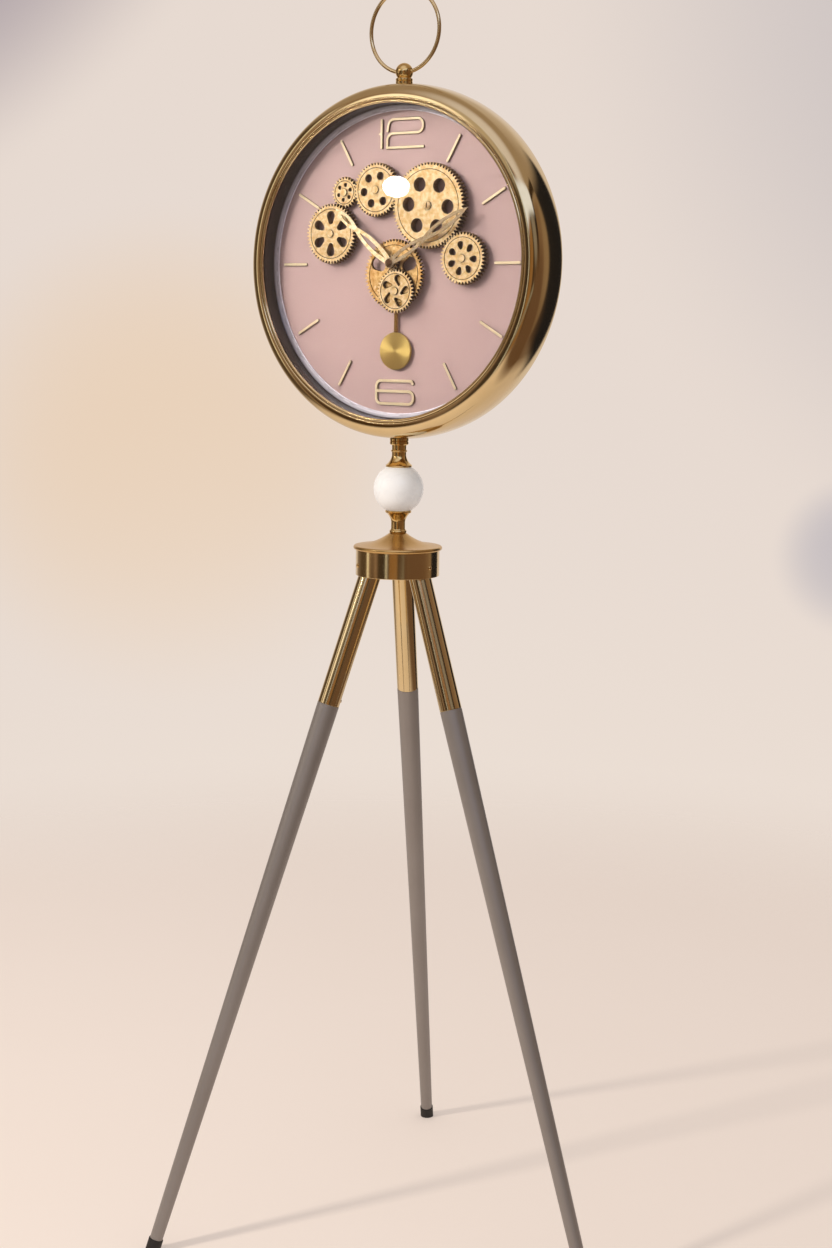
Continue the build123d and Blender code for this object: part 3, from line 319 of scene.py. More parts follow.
# Hub
# A drum turned from brass bar, polished and lacquered, bored underneath for the three
# legs. Round-head screws through its side hold the legs in their sockets.
hub_height = 34.5
hub_diameter = 112
hub_edge = 0.8
hub_top_height = hub_bottom_height + hub_height


def turned_brass(name, light, dark, roughness, line_pitch, line_height=0.02):
    """Brass turned or spun on a lathe and lacquered.

    Its rings round the axis are too fine to see one by one, and are drawn coarser, so that they
    still break up the reflections.
    """
    brass, shader, place = new_material(name, Metallic=1.0)
    lathe = add(brass, "Attribute", {}, attribute_name="lathe").outputs["Vector"]
    flat = add(brass, "VectorMath", {0: lathe, 1: (1, 1, 0)}, operation="MULTIPLY")
    radius = add(brass, "VectorMath", {0: flat}, operation="LENGTH")
    height = add(brass, "SeparateXYZ", {0: lathe})
    across = add(brass, "CombineXYZ", {"X": radius, "Z": height.outputs["Z"]})
    rings = add(brass, "TexNoise", {"Vector": across, "Scale": 1 / (line_pitch * mm), "Detail": 3.0})
    colour, _ = clouded(brass, place, 30, 4.0, light, dark)
    surface(brass, shader, colour, (rings, roughness, roughness + 0.08), relief=(rings, line_height, 0.5))
    return brass


hub_brass = turned_brass("turned brass bar", "#E0C898", "#D5B884", roughness=0.1, line_pitch=0.9)
hub_outline = [
    (0, hub_bottom_height),
    (hub_diameter / 2, hub_bottom_height),
    (hub_diameter / 2, hub_top_height),
    (0, hub_top_height),
]
hub = turned("hub_drum_turned", rounded(hub_outline, hub_edge), steps=192)
fit(hub, hub_brass, "stand", "hub_brass", "hub_drum")

# Screws of the legs
# Six round-head brass screws with a slot: three through the hub into the tubes, and three
# through the tubes into the legs, on the inner side of two tubes and the outer side of the back one.
leg_screw_head_diameter = 6
leg_screw_head_height = 2
leg_screw_head_edge = 0.4
leg_screw_diameter = 3
leg_screw_reach = 8
screw_slot_width = 0.9
screw_slot_depth = 0.9
slot_clearance = 1
screw_corner = radians(35)
hub_screw_rise = 14
hub_screw_first_turn = 25
hub_screw_turn_step = 50
sleeve_screw_above_joint = 8
sleeve_screw_turns = (0, 0, 180)


def cut_mesh(mesh, cutter):
    """The mesh with the cutter taken out of it."""
    piece = put_up("blank", mesh)
    tool = put_up("cutter", cutter)
    cut = piece.modifiers.new("cut", "BOOLEAN")
    cut.operation = "DIFFERENCE"
    cut.solver = "EXACT"
    cut.object = tool
    bpy.context.view_layer.update()
    result = bpy.data.meshes.new_from_object(piece.evaluated_get(bpy.context.evaluated_depsgraph_get()))
    for made in (piece, tool):
        bpy.data.objects.remove(made)
    return result


def slot_tool(width, length, bottom, top):
    """A block that mills a screwdriver slot."""
    shape = bmesh.new()
    bmesh.ops.create_cube(shape, size=1)
    size = Matrix.Diagonal((length * mm, width * mm, (top - bottom) * mm, 1))
    shape.transform(Matrix.Translation((0, 0, (top + bottom) / 2 * mm)) @ size)
    return finished(shape, "slot")


def copies(name, meshes, places):
    """One piece made of meshes, each set at its own place."""
    shape = bmesh.new()
    for mesh, place in zip(meshes, places):
        part = mesh.copy()
        part.transform(place)
        shape.from_mesh(part)
    whole = finished(shape, name)
    whole.shade_smooth()
    whole.set_sharp_from_angle(angle=screw_corner)
    return put_up(name, whole)


def screw_mesh(head_outline, head_top, slots, slot_width, slot_depth, slot_length):
    """A turned screw with one slot across its head, or two for a cross."""
    blank = turned("screw_blank", head_outline, steps=40)
    mesh = blank.data
    bpy.data.objects.remove(blank)
    for turn in range(slots):
        tool = slot_tool(slot_width, slot_length, head_top - slot_depth, head_top + slot_clearance)
        tool.transform(Matrix.Rotation(turn * pi / 2, 4, "Z"))
        mesh = cut_mesh(mesh, tool)
    return mesh


def dome_outline(diameter, edge, height, steps=8):
    """The outline of a low dome on a straight edge, from its rim to the middle of its top."""
    rise = height - edge
    ball_radius = (diameter**2 / 4 + rise**2) / (2 * rise)
    half_angle = asin(diameter / 2 / ball_radius)
    angles = [half_angle * (1 - k / steps) for k in range(steps)]
    arc = [(ball_radius * sin(a), height - ball_radius * (1 - cos(a))) for a in angles]
    return [(diameter / 2, 0), *arc, (0, height)]


screw_brass = turned_brass("brass screw", "#DCBC84", "#C9A46A", roughness=0.2, line_pitch=0.3)
round_head = [
    (0, -leg_screw_reach),
    (leg_screw_diameter / 2, -leg_screw_reach),
    (leg_screw_diameter / 2, 0),
    *dome_outline(leg_screw_head_diameter, leg_screw_head_edge, leg_screw_head_height),
]
slot_length = 2 * leg_screw_head_diameter
leg_screw = screw_mesh(round_head, leg_screw_head_height, 1, screw_slot_width, screw_slot_depth, slot_length)
screw_places = []
for number in range(len(leg_names)):
    angle = radians(first_leg_angle + 120 * number)
    outward = Vector((sin(angle), -cos(angle), 0))
    seat = outward * hub_diameter / 2 + Vector((0, 0, hub_bottom_height + hub_screw_rise))
    aim = outward.to_track_quat("Z", "Y").to_matrix().to_4x4()
    slot_turn = Matrix.Rotation(radians(hub_screw_first_turn + hub_screw_turn_step * number), 4, "Z")
    screw_places.append(Matrix.Translation(seat * mm) @ aim @ slot_turn)
    on_tube = Matrix.Translation((0, leg_tube_diameter / 2 * mm, (leg_joint + sleeve_screw_above_joint) * mm))
    round_tube = Matrix.Rotation(radians(sleeve_screw_turns[number]), 4, "Z")
    screw_places.append(leg_stand(number) @ round_tube @ on_tube @ Matrix.Rotation(radians(-90), 4, "X"))
leg_screws = copies("leg_screw_set", [leg_screw] * len(screw_places), screw_places)
fit(leg_screws, screw_brass, "stand", "screw_brass", "leg_screws")


# Cap of the hub
# A brass cap, spun from sheet: a hollow curve runs down from the stem to a rounded rim.
cap_height = 21.5
cap_rim_diameter = 118.4
cap_rim_height = 5
cap_rim_round = 1.5
cap_hollow_radius = 27.2
cap_hollow_rise = 12
lower_bead_diameter = 23
cap_top_height = hub_top_height + cap_height


def through(start, middle, end, steps=16):
    """Points of the arc through three points, in the plane of an outline."""
    a, b, c = Vector(start), Vector(middle), Vector(end)
    twice = 2 * (a.x * (b.y - c.y) + b.x * (c.y - a.y) + c.x * (a.y - b.y))
    centre_x = (a.dot(a) * (b.y - c.y) + b.dot(b) * (c.y - a.y) + c.dot(c) * (a.y - b.y)) / twice
    centre_y = (a.dot(a) * (c.x - b.x) + b.dot(b) * (a.x - c.x) + c.dot(c) * (b.x - a.x)) / twice
    centre = Vector((centre_x, centre_y))
    first = a - centre
    sweep = first.angle_signed(b - centre) + (b - centre).angle_signed(c - centre)
    return [tuple(centre + Matrix.Rotation(-sweep * k / steps, 2) @ first) for k in range(steps + 1)]


cap_rim = cap_rim_diameter / 2
cap_crown = lower_bead_diameter / 2
cap_outline = [
    (0, hub_top_height),
    *through(
        (cap_rim - cap_rim_round, hub_top_height),
        (cap_rim, hub_top_height + cap_rim_height / 2),
        (cap_rim - cap_rim_round, hub_top_height + cap_rim_height),
    ),
    *through(
        (cap_rim - cap_rim_round, hub_top_height + cap_rim_height),
        (cap_hollow_radius, hub_top_height + cap_hollow_rise),
        (cap_crown, cap_top_height),
        steps=32,
    ),
    (0, cap_top_height),
]
cap_brass = turned_brass("spun brass cap", "#E0BD80", "#D0A766", roughness=0.27, line_pitch=1.1)
cap = turned("hub_cap_spun", cap_outline, steps=192)
fit(cap, cap_brass, "stand", "turned_brass", "dome_cap")

# Lower collar
# A small collar turned from brass bar: a bead that stands on the cap, a neck,
# and a flare whose rim takes the stone ball.
lower_collar_height = 30.6
lower_neck_diameter = 18.8
lower_bead_height = 4.6
ball_diameter = 66.4
collar_rim_diameter = 35.4
collar_rim_height = 2.6
collar_rim_bevel = 1.0
collar_rim_edge = 0.5
collar_flare_height = 12.8
collar_flare_hollow = 2.4
flange_bevel = 1.2
collar_seat_radius = collar_rim_diameter / 2 - collar_rim_bevel
collar_seat_rise = sqrt((ball_diameter / 2) ** 2 - collar_seat_radius**2)
lower_seat_height = cap_top_height + lower_collar_height
ball_height = lower_seat_height + collar_seat_rise
upper_seat_height = ball_height + collar_seat_rise


def flared_rim(seat, outward, neck):
    """From a collar's neck down its hollow flare, and round its rim to the seat on the ball."""
    rim = collar_rim_diameter / 2
    rim_far = seat + outward * collar_rim_height
    flare_far = rim_far + outward * collar_flare_height
    flare_middle = (neck + collar_flare_hollow, (rim_far + flare_far) / 2 - outward * collar_rim_bevel / 2)
    flare = through((neck, flare_far), flare_middle, (rim, rim_far), steps=12)
    edge = [(rim, seat + outward * collar_rim_bevel), (collar_seat_radius, seat)]
    return [*flare, *rounded([flare[-2], *edge, (0, seat)], collar_rim_edge)[1:-1]]


lower_neck = lower_neck_diameter / 2
bead_inner = lower_bead_diameter / 2 - flange_bevel
bead_top = cap_top_height + lower_bead_height
lower_collar_outline = [
    (0, cap_top_height),
    *through(
        (bead_inner, cap_top_height),
        (lower_bead_diameter / 2, cap_top_height + lower_bead_height / 2),
        (bead_inner, bead_top),
    ),
    (lower_neck, bead_top + flange_bevel),
    *flared_rim(lower_seat_height, -1, lower_neck),
    (0, lower_seat_height),
]
collar_brass = turned_brass("turned brass collar", "#E8C98C", "#DAB572", roughness=0.1, line_pitch=0.6)
lower_collar = turned("lower_collar_turned", lower_collar_outline, steps=128)
fit(lower_collar, collar_brass, "stand", "turned_brass", "lower_collar")

# Stone ball
# A ball of white marble, drilled through for the stem and polished. Faint grey veins
# lie just under a waxy surface.
ball_steps = 64
stem_rod_diameter = 10
ball_bore = stem_rod_diameter / 2
ball_bore_rise = sqrt((ball_diameter / 2) ** 2 - ball_bore**2)
ball_ends = asin(ball_bore_rise / (ball_diameter / 2))
ball_angles = [-ball_ends + 2 * ball_ends * k / ball_steps for k in range(ball_steps + 1)]
ball_outline = [(ball_diameter / 2 * cos(a), ball_diameter / 2 * sin(a)) for a in ball_angles]
ball_place = Matrix.Translation((0, 0, ball_height * mm))
# polished white marble: light sinks a little way in, so its shaded side stays soft
marble, shader, place = new_material("polished white marble", IOR=1.49)
feed(marble, shader, Subsurface_Weight=0.15, Subsurface_Scale=2 * mm, Subsurface_Radius=(1, 0.95, 0.9))
drift = add(marble, "TexNoise", {"Vector": place, "Scale": 1 / (28 * mm), "Detail": 5.0})
bent = add(marble, "VectorMath", {0: drift.outputs["Color"], 1: [30 * mm] * 3}, operation="MULTIPLY")
moved = add(marble, "VectorMath", {0: place, 1: bent}, operation="ADD")
vein = add(marble, "TexNoise", {"Vector": moved, "Scale": 1 / (40 * mm), "Detail": 6.0})
ridge = add(marble, "Math", {0: vein, 1: 0.5}, operation="SUBTRACT")
line = add(marble, "Math", {0: ridge}, operation="ABSOLUTE")
faint = add(marble, "MapRange", {"Value": line, "From Max": 0.03, "To Min": 0.35, "To Max": 0.0})
colour = add(marble, "Mix", {"Factor": faint, "A": "#FCFCFE", "B": "#EEEEF1"}, data_type="RGBA")
surface(marble, shader, colour, polish=(drift, 0.16, 0.28))
ball = turned("marble_ball_polished", ball_outline, ball_place, steps=128)
fit(ball, marble, "stand", "white_marble", "marble_ball")

# Upper collar
# The collar between ball and case, turned from brass bar: flare, neck with a bead,
# and a grooved flange whose top is hollowed to sit on the case.
upper_collar_height = 37.21
upper_neck_diameter = 19.2
neck_bead_height = 2.8
neck_bead_bulge = 1.2
neck_bead_drop = 1.0
flange_diameter = 25
flange_height = 8
flange_groove_drop = 3.1
flange_groove_depth = 0.9
flange_groove_half_width = 0.7
flange_hollow = 0.2
case_bottom_height = upper_seat_height + upper_collar_height
upper_neck = upper_neck_diameter / 2
flange = flange_diameter / 2
flange_bottom = case_bottom_height - flange_height
flange_groove = case_bottom_height - flange_groove_drop
flare_outline = list(reversed(flared_rim(upper_seat_height, 1, upper_neck)))
neck_bead_middle = (flare_outline[-1][1] + flange_bottom) / 2 - neck_bead_drop
upper_collar_outline = [
    (0, upper_seat_height),
    *flare_outline,
    *through(
        (upper_neck, neck_bead_middle - neck_bead_height / 2),
        (upper_neck + neck_bead_bulge, neck_bead_middle),
        (upper_neck, neck_bead_middle + neck_bead_height / 2),
        steps=8,
    ),
    (upper_neck, flange_bottom),
    (flange - flange_bevel, flange_bottom),
    (flange, flange_bottom + flange_bevel),
    (flange, flange_groove - flange_groove_half_width),
    (flange - flange_groove_depth, flange_groove),
    (flange, flange_groove + flange_groove_half_width),
    (flange, case_bottom_height + flange_hollow),
    (0, case_bottom_height + flange_hollow),
]
upper_collar = turned("upper_collar_turned", upper_collar_outline, steps=128)
fit(upper_collar, collar_brass, "stand", "turned_brass", "upper_collar")

# Stem rod and nuts
# A steel rod, threaded at its ends, runs from the hub through collars and ball into
# the case. Plain zinc-plated nuts pull the stack together and hold the finial.


def plated_steel(name, light, dark, roughness):
    """Plated or bright steel: cool grey, finely crystalline, with a dull gloss."""
    steel, shader, place = new_material(name, Metallic=1.0)
    colour, cloud = clouded(steel, place, 4, 5.0, light, dark)
    surface(steel, shader, colour, polish=(cloud, roughness, roughness + 0.15))
    return steel


def node_finish(material, *nodes, edge=0):
    """CAD nodes that keep their shape, with their finish, and their edges broken by a bevel in mm."""
    for node in nodes:
        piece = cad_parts[node]
        piece.data.materials.clear()
        piece.data.materials.append(material)
        if edge:
            piece.modifiers.new("seam", "WELD").merge_threshold = 0.002 * mm
            flat = piece.modifiers.new("flat faces", "DECIMATE")
            flat.decimate_type = "DISSOLVE"
            flat.angle_limit = radians(0.5)
            bevel = piece.modifiers.new("broken edge", "BEVEL")
            bevel.width = edge * mm
            bevel.segments = 2
            bevel.limit_method = "ANGLE"
            bevel.angle_limit = sharp_corner
            bevel.harden_normals = True


stem_steel = plated_steel("zinc plated steel rod", "#B5B3AD", "#8F8E89", roughness=0.3)
node_finish(stem_steel, "stem_rod")
node_finish(stem_steel, "stem_nuts", edge=0.4)

# Case
# One shell spun from brass sheet, polished and lacquered: a gently crowned wall that rolls
# over in front and behind and turns in to a short skirt. The stem and the finial bolt through it.
case_diameter = 454
case_depth = 75
case_wall = 1.6
case_skirt = 8
case_round_radius = 19
case_crown_radius = 120
dial_setback = 31
seat_gap = 0.3
case_radius = case_diameter / 2
case_mid = dial_setback - case_depth / 2
case_front = dial_setback
case_back = dial_setback - case_depth
dial_centre_height = case_bottom_height + case_radius
case_top_height = dial_centre_height + case_radius
crown_half_angle = asin((case_depth / 2 - case_round_radius) / (case_crown_radius - case_round_radius))
crown_centre_radius = case_radius - case_crown_radius
round_centre_radius = crown_centre_radius + (case_crown_radius - case_round_radius) * cos(crown_half_angle)
inset_radius = round_centre_radius - case_wall - seat_gap
# the clock head is drawn lying down, +Z out of the dial and 0 on the dial's face
face = Matrix.Translation((0, case_mid * mm, dial_centre_height * mm)) @ Matrix.Rotation(radians(90), 4, "X")


def sweep_arc(centre, radius, start, end, steps):
    """Points of an arc in an outline, between two angles."""
    angles = [start + (end - start) * k / steps for k in range(steps + 1)]
    return [(centre[0] + radius * cos(a), centre[1] + radius * sin(a)) for a in angles]


def case_wall_outline(inward, steps):
    """The rounds and the crowned wall from front to back, moved inward by a thickness."""
    offset = case_depth / 2 - case_round_radius
    small = case_round_radius - inward
    front = sweep_arc((round_centre_radius, case_mid + offset), small, pi / 2, crown_half_angle, steps)
    crown_centre = (crown_centre_radius, case_mid)
    crown = sweep_arc(crown_centre, case_crown_radius - inward, crown_half_angle, -crown_half_angle, steps)
    back = sweep_arc((round_centre_radius, case_mid - offset), small, -crown_half_angle, -pi / 2, steps)
    return front + crown[1:-1] + back


skirt_radius = round_centre_radius - case_wall
turn_in = sweep_arc((round_centre_radius, case_front - case_wall), case_wall, pi, pi / 2, 6)
turn_out = sweep_arc((round_centre_radius, case_back + case_wall), case_wall, -pi / 2, -pi, 6)
case_outline = [
    (skirt_radius, case_front - case_skirt),
    *turn_in[:-1],
    *case_wall_outline(inward=0, steps=40),
    *turn_out[1:],
    (skirt_radius, case_back + case_skirt),
    (round_centre_radius, case_back + case_skirt),
    *reversed(case_wall_outline(inward=case_wall, steps=12)),
    (round_centre_radius, case_front - case_skirt),
]
case_brass = turned_brass(
    "spun brass case", "#DFC99C", "#D2B888", roughness=0.06, line_pitch=2.2, line_height=0.004
)
case = turned("case_spun", case_outline, face, steps=384)
fit(case, case_brass, "stand", "case_brass", "case_ring")

# Back of the case
# A fibreboard ring carries a black powder-coated sheet and a small door over the battery,
# all held by pan-head cross-recess screws.
cover_screw_count = 6
cover_screw_inset = 6.4
cover_screw_diameter = 4.0
cover_screw_length = 16
cover_screw_head_diameter = 8.0
cover_screw_head_height = 2.4
cover_screw_head_taper = 1.0
cover_screw_head_edge = 0.6
cover_screw_turn_step = 17
cover_thickness = 1.5
door_screw_length = 5.4
door_screw_reach_x = 66.5
door_screw_reach_y = 50.5
door_centre = (6, -2)
cross_width = 1.0
cross_length = 4.4
cross_depth = 1.5

# pressed wood fibre: matt brown, with fibres a few millimetres long
fibreboard, shader, place = new_material("pressed fibreboard", Roughness=0.85)
stretched = add(fibreboard, "VectorMath", {0: place, 1: (1, 0.25, 1)}, operation="MULTIPLY")
colour, fibre = clouded(fibreboard, stretched, 1.5, 5.0, "#7A5B3D", "#A88562")
surface(fibreboard, shader, colour, relief=(fibre, 0.15, 0.5))
node_finish(fibreboard, "spacer_ring")

# powder coat on steel sheet: black, satin, with a pebbled skin about a millimetre across
powder_coat, shader, place = new_material("black powder coated steel")
pebble = add(powder_coat, "TexNoise", {"Vector": place, "Scale": 1 / (1.0 * mm), "Detail": 1.0})
colour, cloud = clouded(powder_coat, place, 60, 4.0, "#1C1B1B", "#292827")
surface(powder_coat, shader, colour, polish=(cloud, 0.42, 0.56), relief=(pebble, 0.12, 0.6))
node_finish(powder_coat, "back_cover", "access_door", edge=0.3)


def pan_head(length):
    """A pan-head screw with a cross recess, its head's underside at 0."""
    head = cover_screw_head_diameter / 2
    shank = cover_screw_diameter / 2
    corners = [
        (0, cover_screw_head_height),
        (head - cover_screw_head_taper, cover_screw_head_height),
        (head, 0),
        (shank, 0),
    ]
    outline = [
        (0, cover_screw_head_height),
        *rounded(corners, cover_screw_head_edge)[1:-corner_points],
        (shank, 0),
        (shank, -length),
        (0, -length),
    ]
    return screw_mesh(outline, cover_screw_head_height, 2, cross_width, cross_depth, cross_length)


def on_back(x, y, sheets, turn):
    """Where a screw stands on the sheets behind the case, with its cross turned."""
    spot = Vector((x, y, case_back - sheets * cover_thickness))
    backward = Matrix.Rotation(pi, 4, "X") @ Matrix.Rotation(turn, 4, "Z")
    return face @ Matrix.Translation(spot * mm) @ backward


back_screw_places = []
cover_reach = inset_radius - cover_screw_inset
for number in range(cover_screw_count):
    angle = radians(90 + 360 / cover_screw_count * number)
    x, y = cover_reach * cos(angle), cover_reach * sin(angle)
    back_screw_places.append(on_back(x, y, 1, turn=radians(cover_screw_turn_step * number)))
for across in (-1, 1):
    for up in (-1, 1):
        x, y = door_centre[0] + across * door_screw_reach_x, door_centre[1] + up * door_screw_reach_y
        back_screw_places.append(on_back(x, y, 2, turn=across * up))
door_screw_count = len(back_screw_places) - cover_screw_count
back_screw_meshes = [pan_head(cover_screw_length)] * cover_screw_count
back_screw_meshes += [pan_head(door_screw_length)] * door_screw_count
back_screws = copies("back_screw_set", back_screw_meshes, back_screw_places)
screw_steel = plated_steel("zinc plated steel screw", "#BDBBB5", "#94938D", roughness=0.28)
fit(back_screws, screw_steel, "stand", "screw_steel", "cover_screws")

# Dial
# A flat board painted a dusty pink, rubbed down to a fine satin. The posts of the wheels
# stand in it, and the numerals are glued on.

# satin paint: powdery, with a broad weak sheen and barely uneven colour
dial_paint, shader, place = new_material("dusty pink satin paint", Specular_IOR_Level=0.3)
cloud = add(dial_paint, "TexNoise", {"Vector": place, "Scale": 1 / (120 * mm), "Detail": 3.0})
powder = add(dial_paint, "TexNoise", {"Vector": place, "Scale": 1 / (0.9 * mm), "Detail": 2.0})
mottle = add(dial_paint, "Math", {0: cloud, 1: 0.75, 2: 0.0}, operation="MULTIPLY_ADD")
speck = add(dial_paint, "Math", {0: powder, 1: 0.25, 2: mottle}, operation="MULTIPLY_ADD")
colour = add(dial_paint, "Mix", {"Factor": speck, "A": "#AC9090", "B": "#B89D9C"}, data_type="RGBA")
surface(dial_paint, shader, colour, polish=(cloud, 0.45, 0.58), relief=(powder, 0.03, 0.4))
node_finish(dial_paint, "dial_plate")

# Inner wall
# A ring of glossy black plastic between dial and glass, with a sloping foot that
# frames the dial; a reflection of the dial's edge is painted on the foot in pale streaks.
glass_back = 26.2
inner_wall_thickness = 4.0
inner_foot_width = 7.0
inner_foot_height = 5.0
inner_foot_edge = 1.0
inner_wall_edge = 0.4
wall_radius = inset_radius - inner_wall_thickness
inner_foot_radius = wall_radius - inner_foot_width
inner_wall_corners = [
    (inset_radius, glass_back),
    (wall_radius, glass_back),
    (wall_radius, inner_foot_height),
    (inner_foot_radius, inner_foot_edge),
    (inner_foot_radius, 0),
]
inner_wall_outline = [
    (inset_radius, 0),
    *rounded(inner_wall_corners, inner_wall_edge)[:-corner_points],
    (inner_foot_radius, 0),
]
# moulded black plastic: a deep gloss that mirrors the room, and on its foot a painted reflection of the dial
# in pale streaks, brightest towards the dial
gloss_black, shader, place = new_material("glossy black moulded plastic", IOR=1.46)
black, cloud = clouded(gloss_black, place, 14, 3.0, "#08090D", "#101218")
lathe = add(gloss_black, "Attribute", {}, attribute_name="lathe")
height = add(gloss_black, "SeparateXYZ", {0: lathe.outputs["Vector"]}).outputs["Z"]
waver = add(gloss_black, "Math", {0: cloud, 1: 2 * mm}, operation="MULTIPLY")
level = add(gloss_black, "CombineXYZ", {"X": height, "Y": waver})
streak = add(gloss_black, "TexNoise", {"Vector": level, "Scale": 1 / (1.2 * mm), "Detail": 1.0})
# painted reflection: lilac-white streaks on the foot, brightening towards the dial
glint = add(gloss_black, "MapRange", {"Value": streak, "From Min": 0.35, "From Max": 0.6, "To Min": 0.35})
inward = {"From Min": inner_foot_height * mm, "From Max": 2 * inner_foot_edge * mm}
slope = add(gloss_black, "MapRange", {"Value": height, **inward})
share = add(gloss_black, "Math", {0: glint, 1: slope}, operation="MULTIPLY")
sheen = add(gloss_black, "Mix", {"Factor": share, "A": "#38343E", "B": "#F2EDFA"}, data_type="RGBA")
foot_end = {"From Min": (inner_foot_height - inner_wall_edge) * mm, "From Max": inner_foot_height * mm}
foot = add(gloss_black, "MapRange", {"Value": height, **foot_end})
colour = add(gloss_black, "Mix", {"Factor": foot, "A": sheen, "B": black}, data_type="RGBA")
surface(gloss_black, shader, colour, polish=(cloud, 0.1, 0.18))
inner_wall = turned("inner_wall_moulded", inner_wall_outline, face, steps=256)
fit(inner_wall, gloss_black, "stand", "inner_black", "inner_wall")

# Glass
# A flat disc of clear float glass with ground edges, in front of dial and hands.
glass_thickness = 2.3
glass_play = 0.1
glass_edge = 0.3
glass_front = glass_back + glass_thickness
glass_radius = inset_radius - glass_play
glass_corners = [(0, glass_back), (glass_radius, glass_back), (glass_radius, glass_front), (0, glass_front)]
# float glass: colourless in front, and lamps shine through it onto the dial
glass_clear, shader, place = new_material("clear float glass", IOR=1.5, Transmission_Weight=1.0)
tint, film = clouded(glass_clear, place, 70, 4.0, "#FCFDFD", "#FFFFFF")
surface(glass_clear, shader, tint, polish=(film, 0.0, 0.015))
rays = add(glass_clear, "LightPath", {})
clear = add(glass_clear, "BsdfTransparent", {"Color": "#F7F9F9"})
lamps_through = add(glass_clear, "MixShader", {0: rays.outputs["Is Shadow Ray"], 1: shader, 2: clear})
wire(glass_clear, glass_clear.node_tree.nodes["Material Output"], {"Surface": lamps_through})
glass = turned("glass_disc", rounded(glass_corners, glass_edge), face, steps=256)
fit(glass, glass_clear, "stand", "clear_glass", "glass_lens")

# Bead of the case
# A slim brass bead, turned and pressed in, that holds the glass against the inner wall.
bead_width = 4.2
bead_height = 2.5
bead_lip = 1.4
opening_radius = inset_radius - bead_width
bead_middle_radius = opening_radius + bead_width / 2
bead_front = glass_front + bead_height
bead_outline = [
    (opening_radius, glass_front),
    *through(
        (opening_radius, glass_front + bead_lip),
        (bead_middle_radius, bead_front),
        (inset_radius, glass_front + bead_lip),
        steps=12,
    ),
    (inset_radius, glass_front),
]
bead = turned("bead_turned", bead_outline, face, steps=256)
fit(bead, case_brass, "stand", "case_brass", "bezel_bead")

# Numerals and hour bars
# Cut from brass sheet, brushed and thinly gilt, and glued to the dial.


def facing_front(material, place, start, end, low=0.0):
    """How far a face is turned to the front: a share of painted light, with painted shade on faces turned
    away.
    """
    normal = place.node.outputs["Normal"]
    facing = add(material, "VectorMath", {0: normal, 1: (0, -1, 0)}, operation="DOT_PRODUCT")
    limits = {"From Min": start, "From Max": end, "To Min": low}
    return add(material, "MapRange", {"Value": facing, **limits})


# brushed champagne gold: pale, with short scratches that soften its gloss
mark_gold, shader, place = new_material("brushed champagne gold", Metallic=0.7)
scratch = add(mark_gold, "VectorMath", {0: place, 1: (0.12, 1, 1)}, operation="MULTIPLY")
pale, brush = clouded(mark_gold, scratch, 0.4, 3.0, "#EBD6AE", "#F9ECD0")
painted_front_light = facing_front(mark_gold, place, start=0.1, end=0.85)
# painted shade: faces turned away from the front are painted dark brown, and front faces pale
colour = add(mark_gold, "Mix", {"Factor": painted_front_light, "A": "#6E4A30", "B": pale}, data_type="RGBA")
surface(mark_gold, shader, colour, polish=(brush, 0.24, 0.4), relief=(brush, 0.03, 0.5))
node_finish(mark_gold, "numeral_12", "numeral_6", "hour_batons", edge=0.9)

# Movement, motor and cell
# Behind the dial: a quartz movement in black plastic with its cell and setting knob,
# and a geared motor in a plated can for the show wheels.

# moulded ABS: black and half matt, with the fine spark texture of its mould
moulded_black, shader, place = new_material("black moulded ABS", Roughness=0.5)
colour, spark = clouded(moulded_black, place, 0.5, 2.0, "#131313", "#1E1E1E")
surface(moulded_black, shader, colour, relief=(spark, 0.05, 0.5))
node_finish(moulded_black, "movement", "setting_knob", edge=0.4)

# plastic sleeve shrunk over a zinc can: plain grey, smooth and a little glossy
cell_wrap, shader, place = new_material("grey shrink sleeve", Roughness=0.3)
colour, _ = clouded(cell_wrap, place, 10, 3.0, "#4A4A4E", "#5A5A60")
surface(cell_wrap, shader, colour)
node_finish(cell_wrap, "battery_cell", edge=0.4)

motor_can = plated_steel("nickel plated steel can", "#B9B6AE", "#989690", roughness=0.22)
node_finish(motor_can, "gear_motor", "motor_screws", edge=0.3)

# Toothed wheels
# Die-cast zinc wheels with cut teeth, gilt, with painted shade: brown in grooves and corners
# and on faces turned away from the front. Each runs on a post behind a slotted cap screw.


def gilt(name, light, dark, painted_shade, roughness, metal=1.0):
    """Old-gold lacquer on metal, mottled, with painted shade in corners and on faces turned from the front.
    """
    gold, shader, place = new_material(name, Metallic=metal)
    mottle = add(gold, "TexNoise", {"Vector": place, "Scale": 1 / (5 * mm), "Detail": 5.0})
    pit = add(gold, "TexNoise", {"Vector": place, "Scale": 1 / (0.8 * mm), "Detail": 3.0})
    spread = add(gold, "MapRange", {"Value": mottle, "From Min": 0.35, "From Max": 0.65})
    colour = add(gold, "Mix", {"Factor": spread, "A": light, "B": dark}, data_type="RGBA")
    # painted shade: darker where nearby parts hide a point, and on faces turned from the front
    corner = add(gold, "AmbientOcclusion", {"Distance": 4 * mm}, samples=6).outputs["AO"]
    open_to_light = add(gold, "MapRange", {"Value": corner, "From Min": 0.5, "From Max": 0.95})
    painted_front_light = facing_front(gold, place, start=-0.1, end=0.8, low=0.25)
    painted_light_share = add(gold, "Math", {0: open_to_light, 1: painted_front_light}, operation="MULTIPLY")
    shaded_gold = add(gold, "Mix", {"Factor": painted_light_share, "A": painted_shade, "B": colour}, data_type="RGBA")
    surface(gold, shader, shaded_gold, polish=(pit, roughness, roughness + 0.2), relief=(pit, 0.06, 0.6))
    return gold
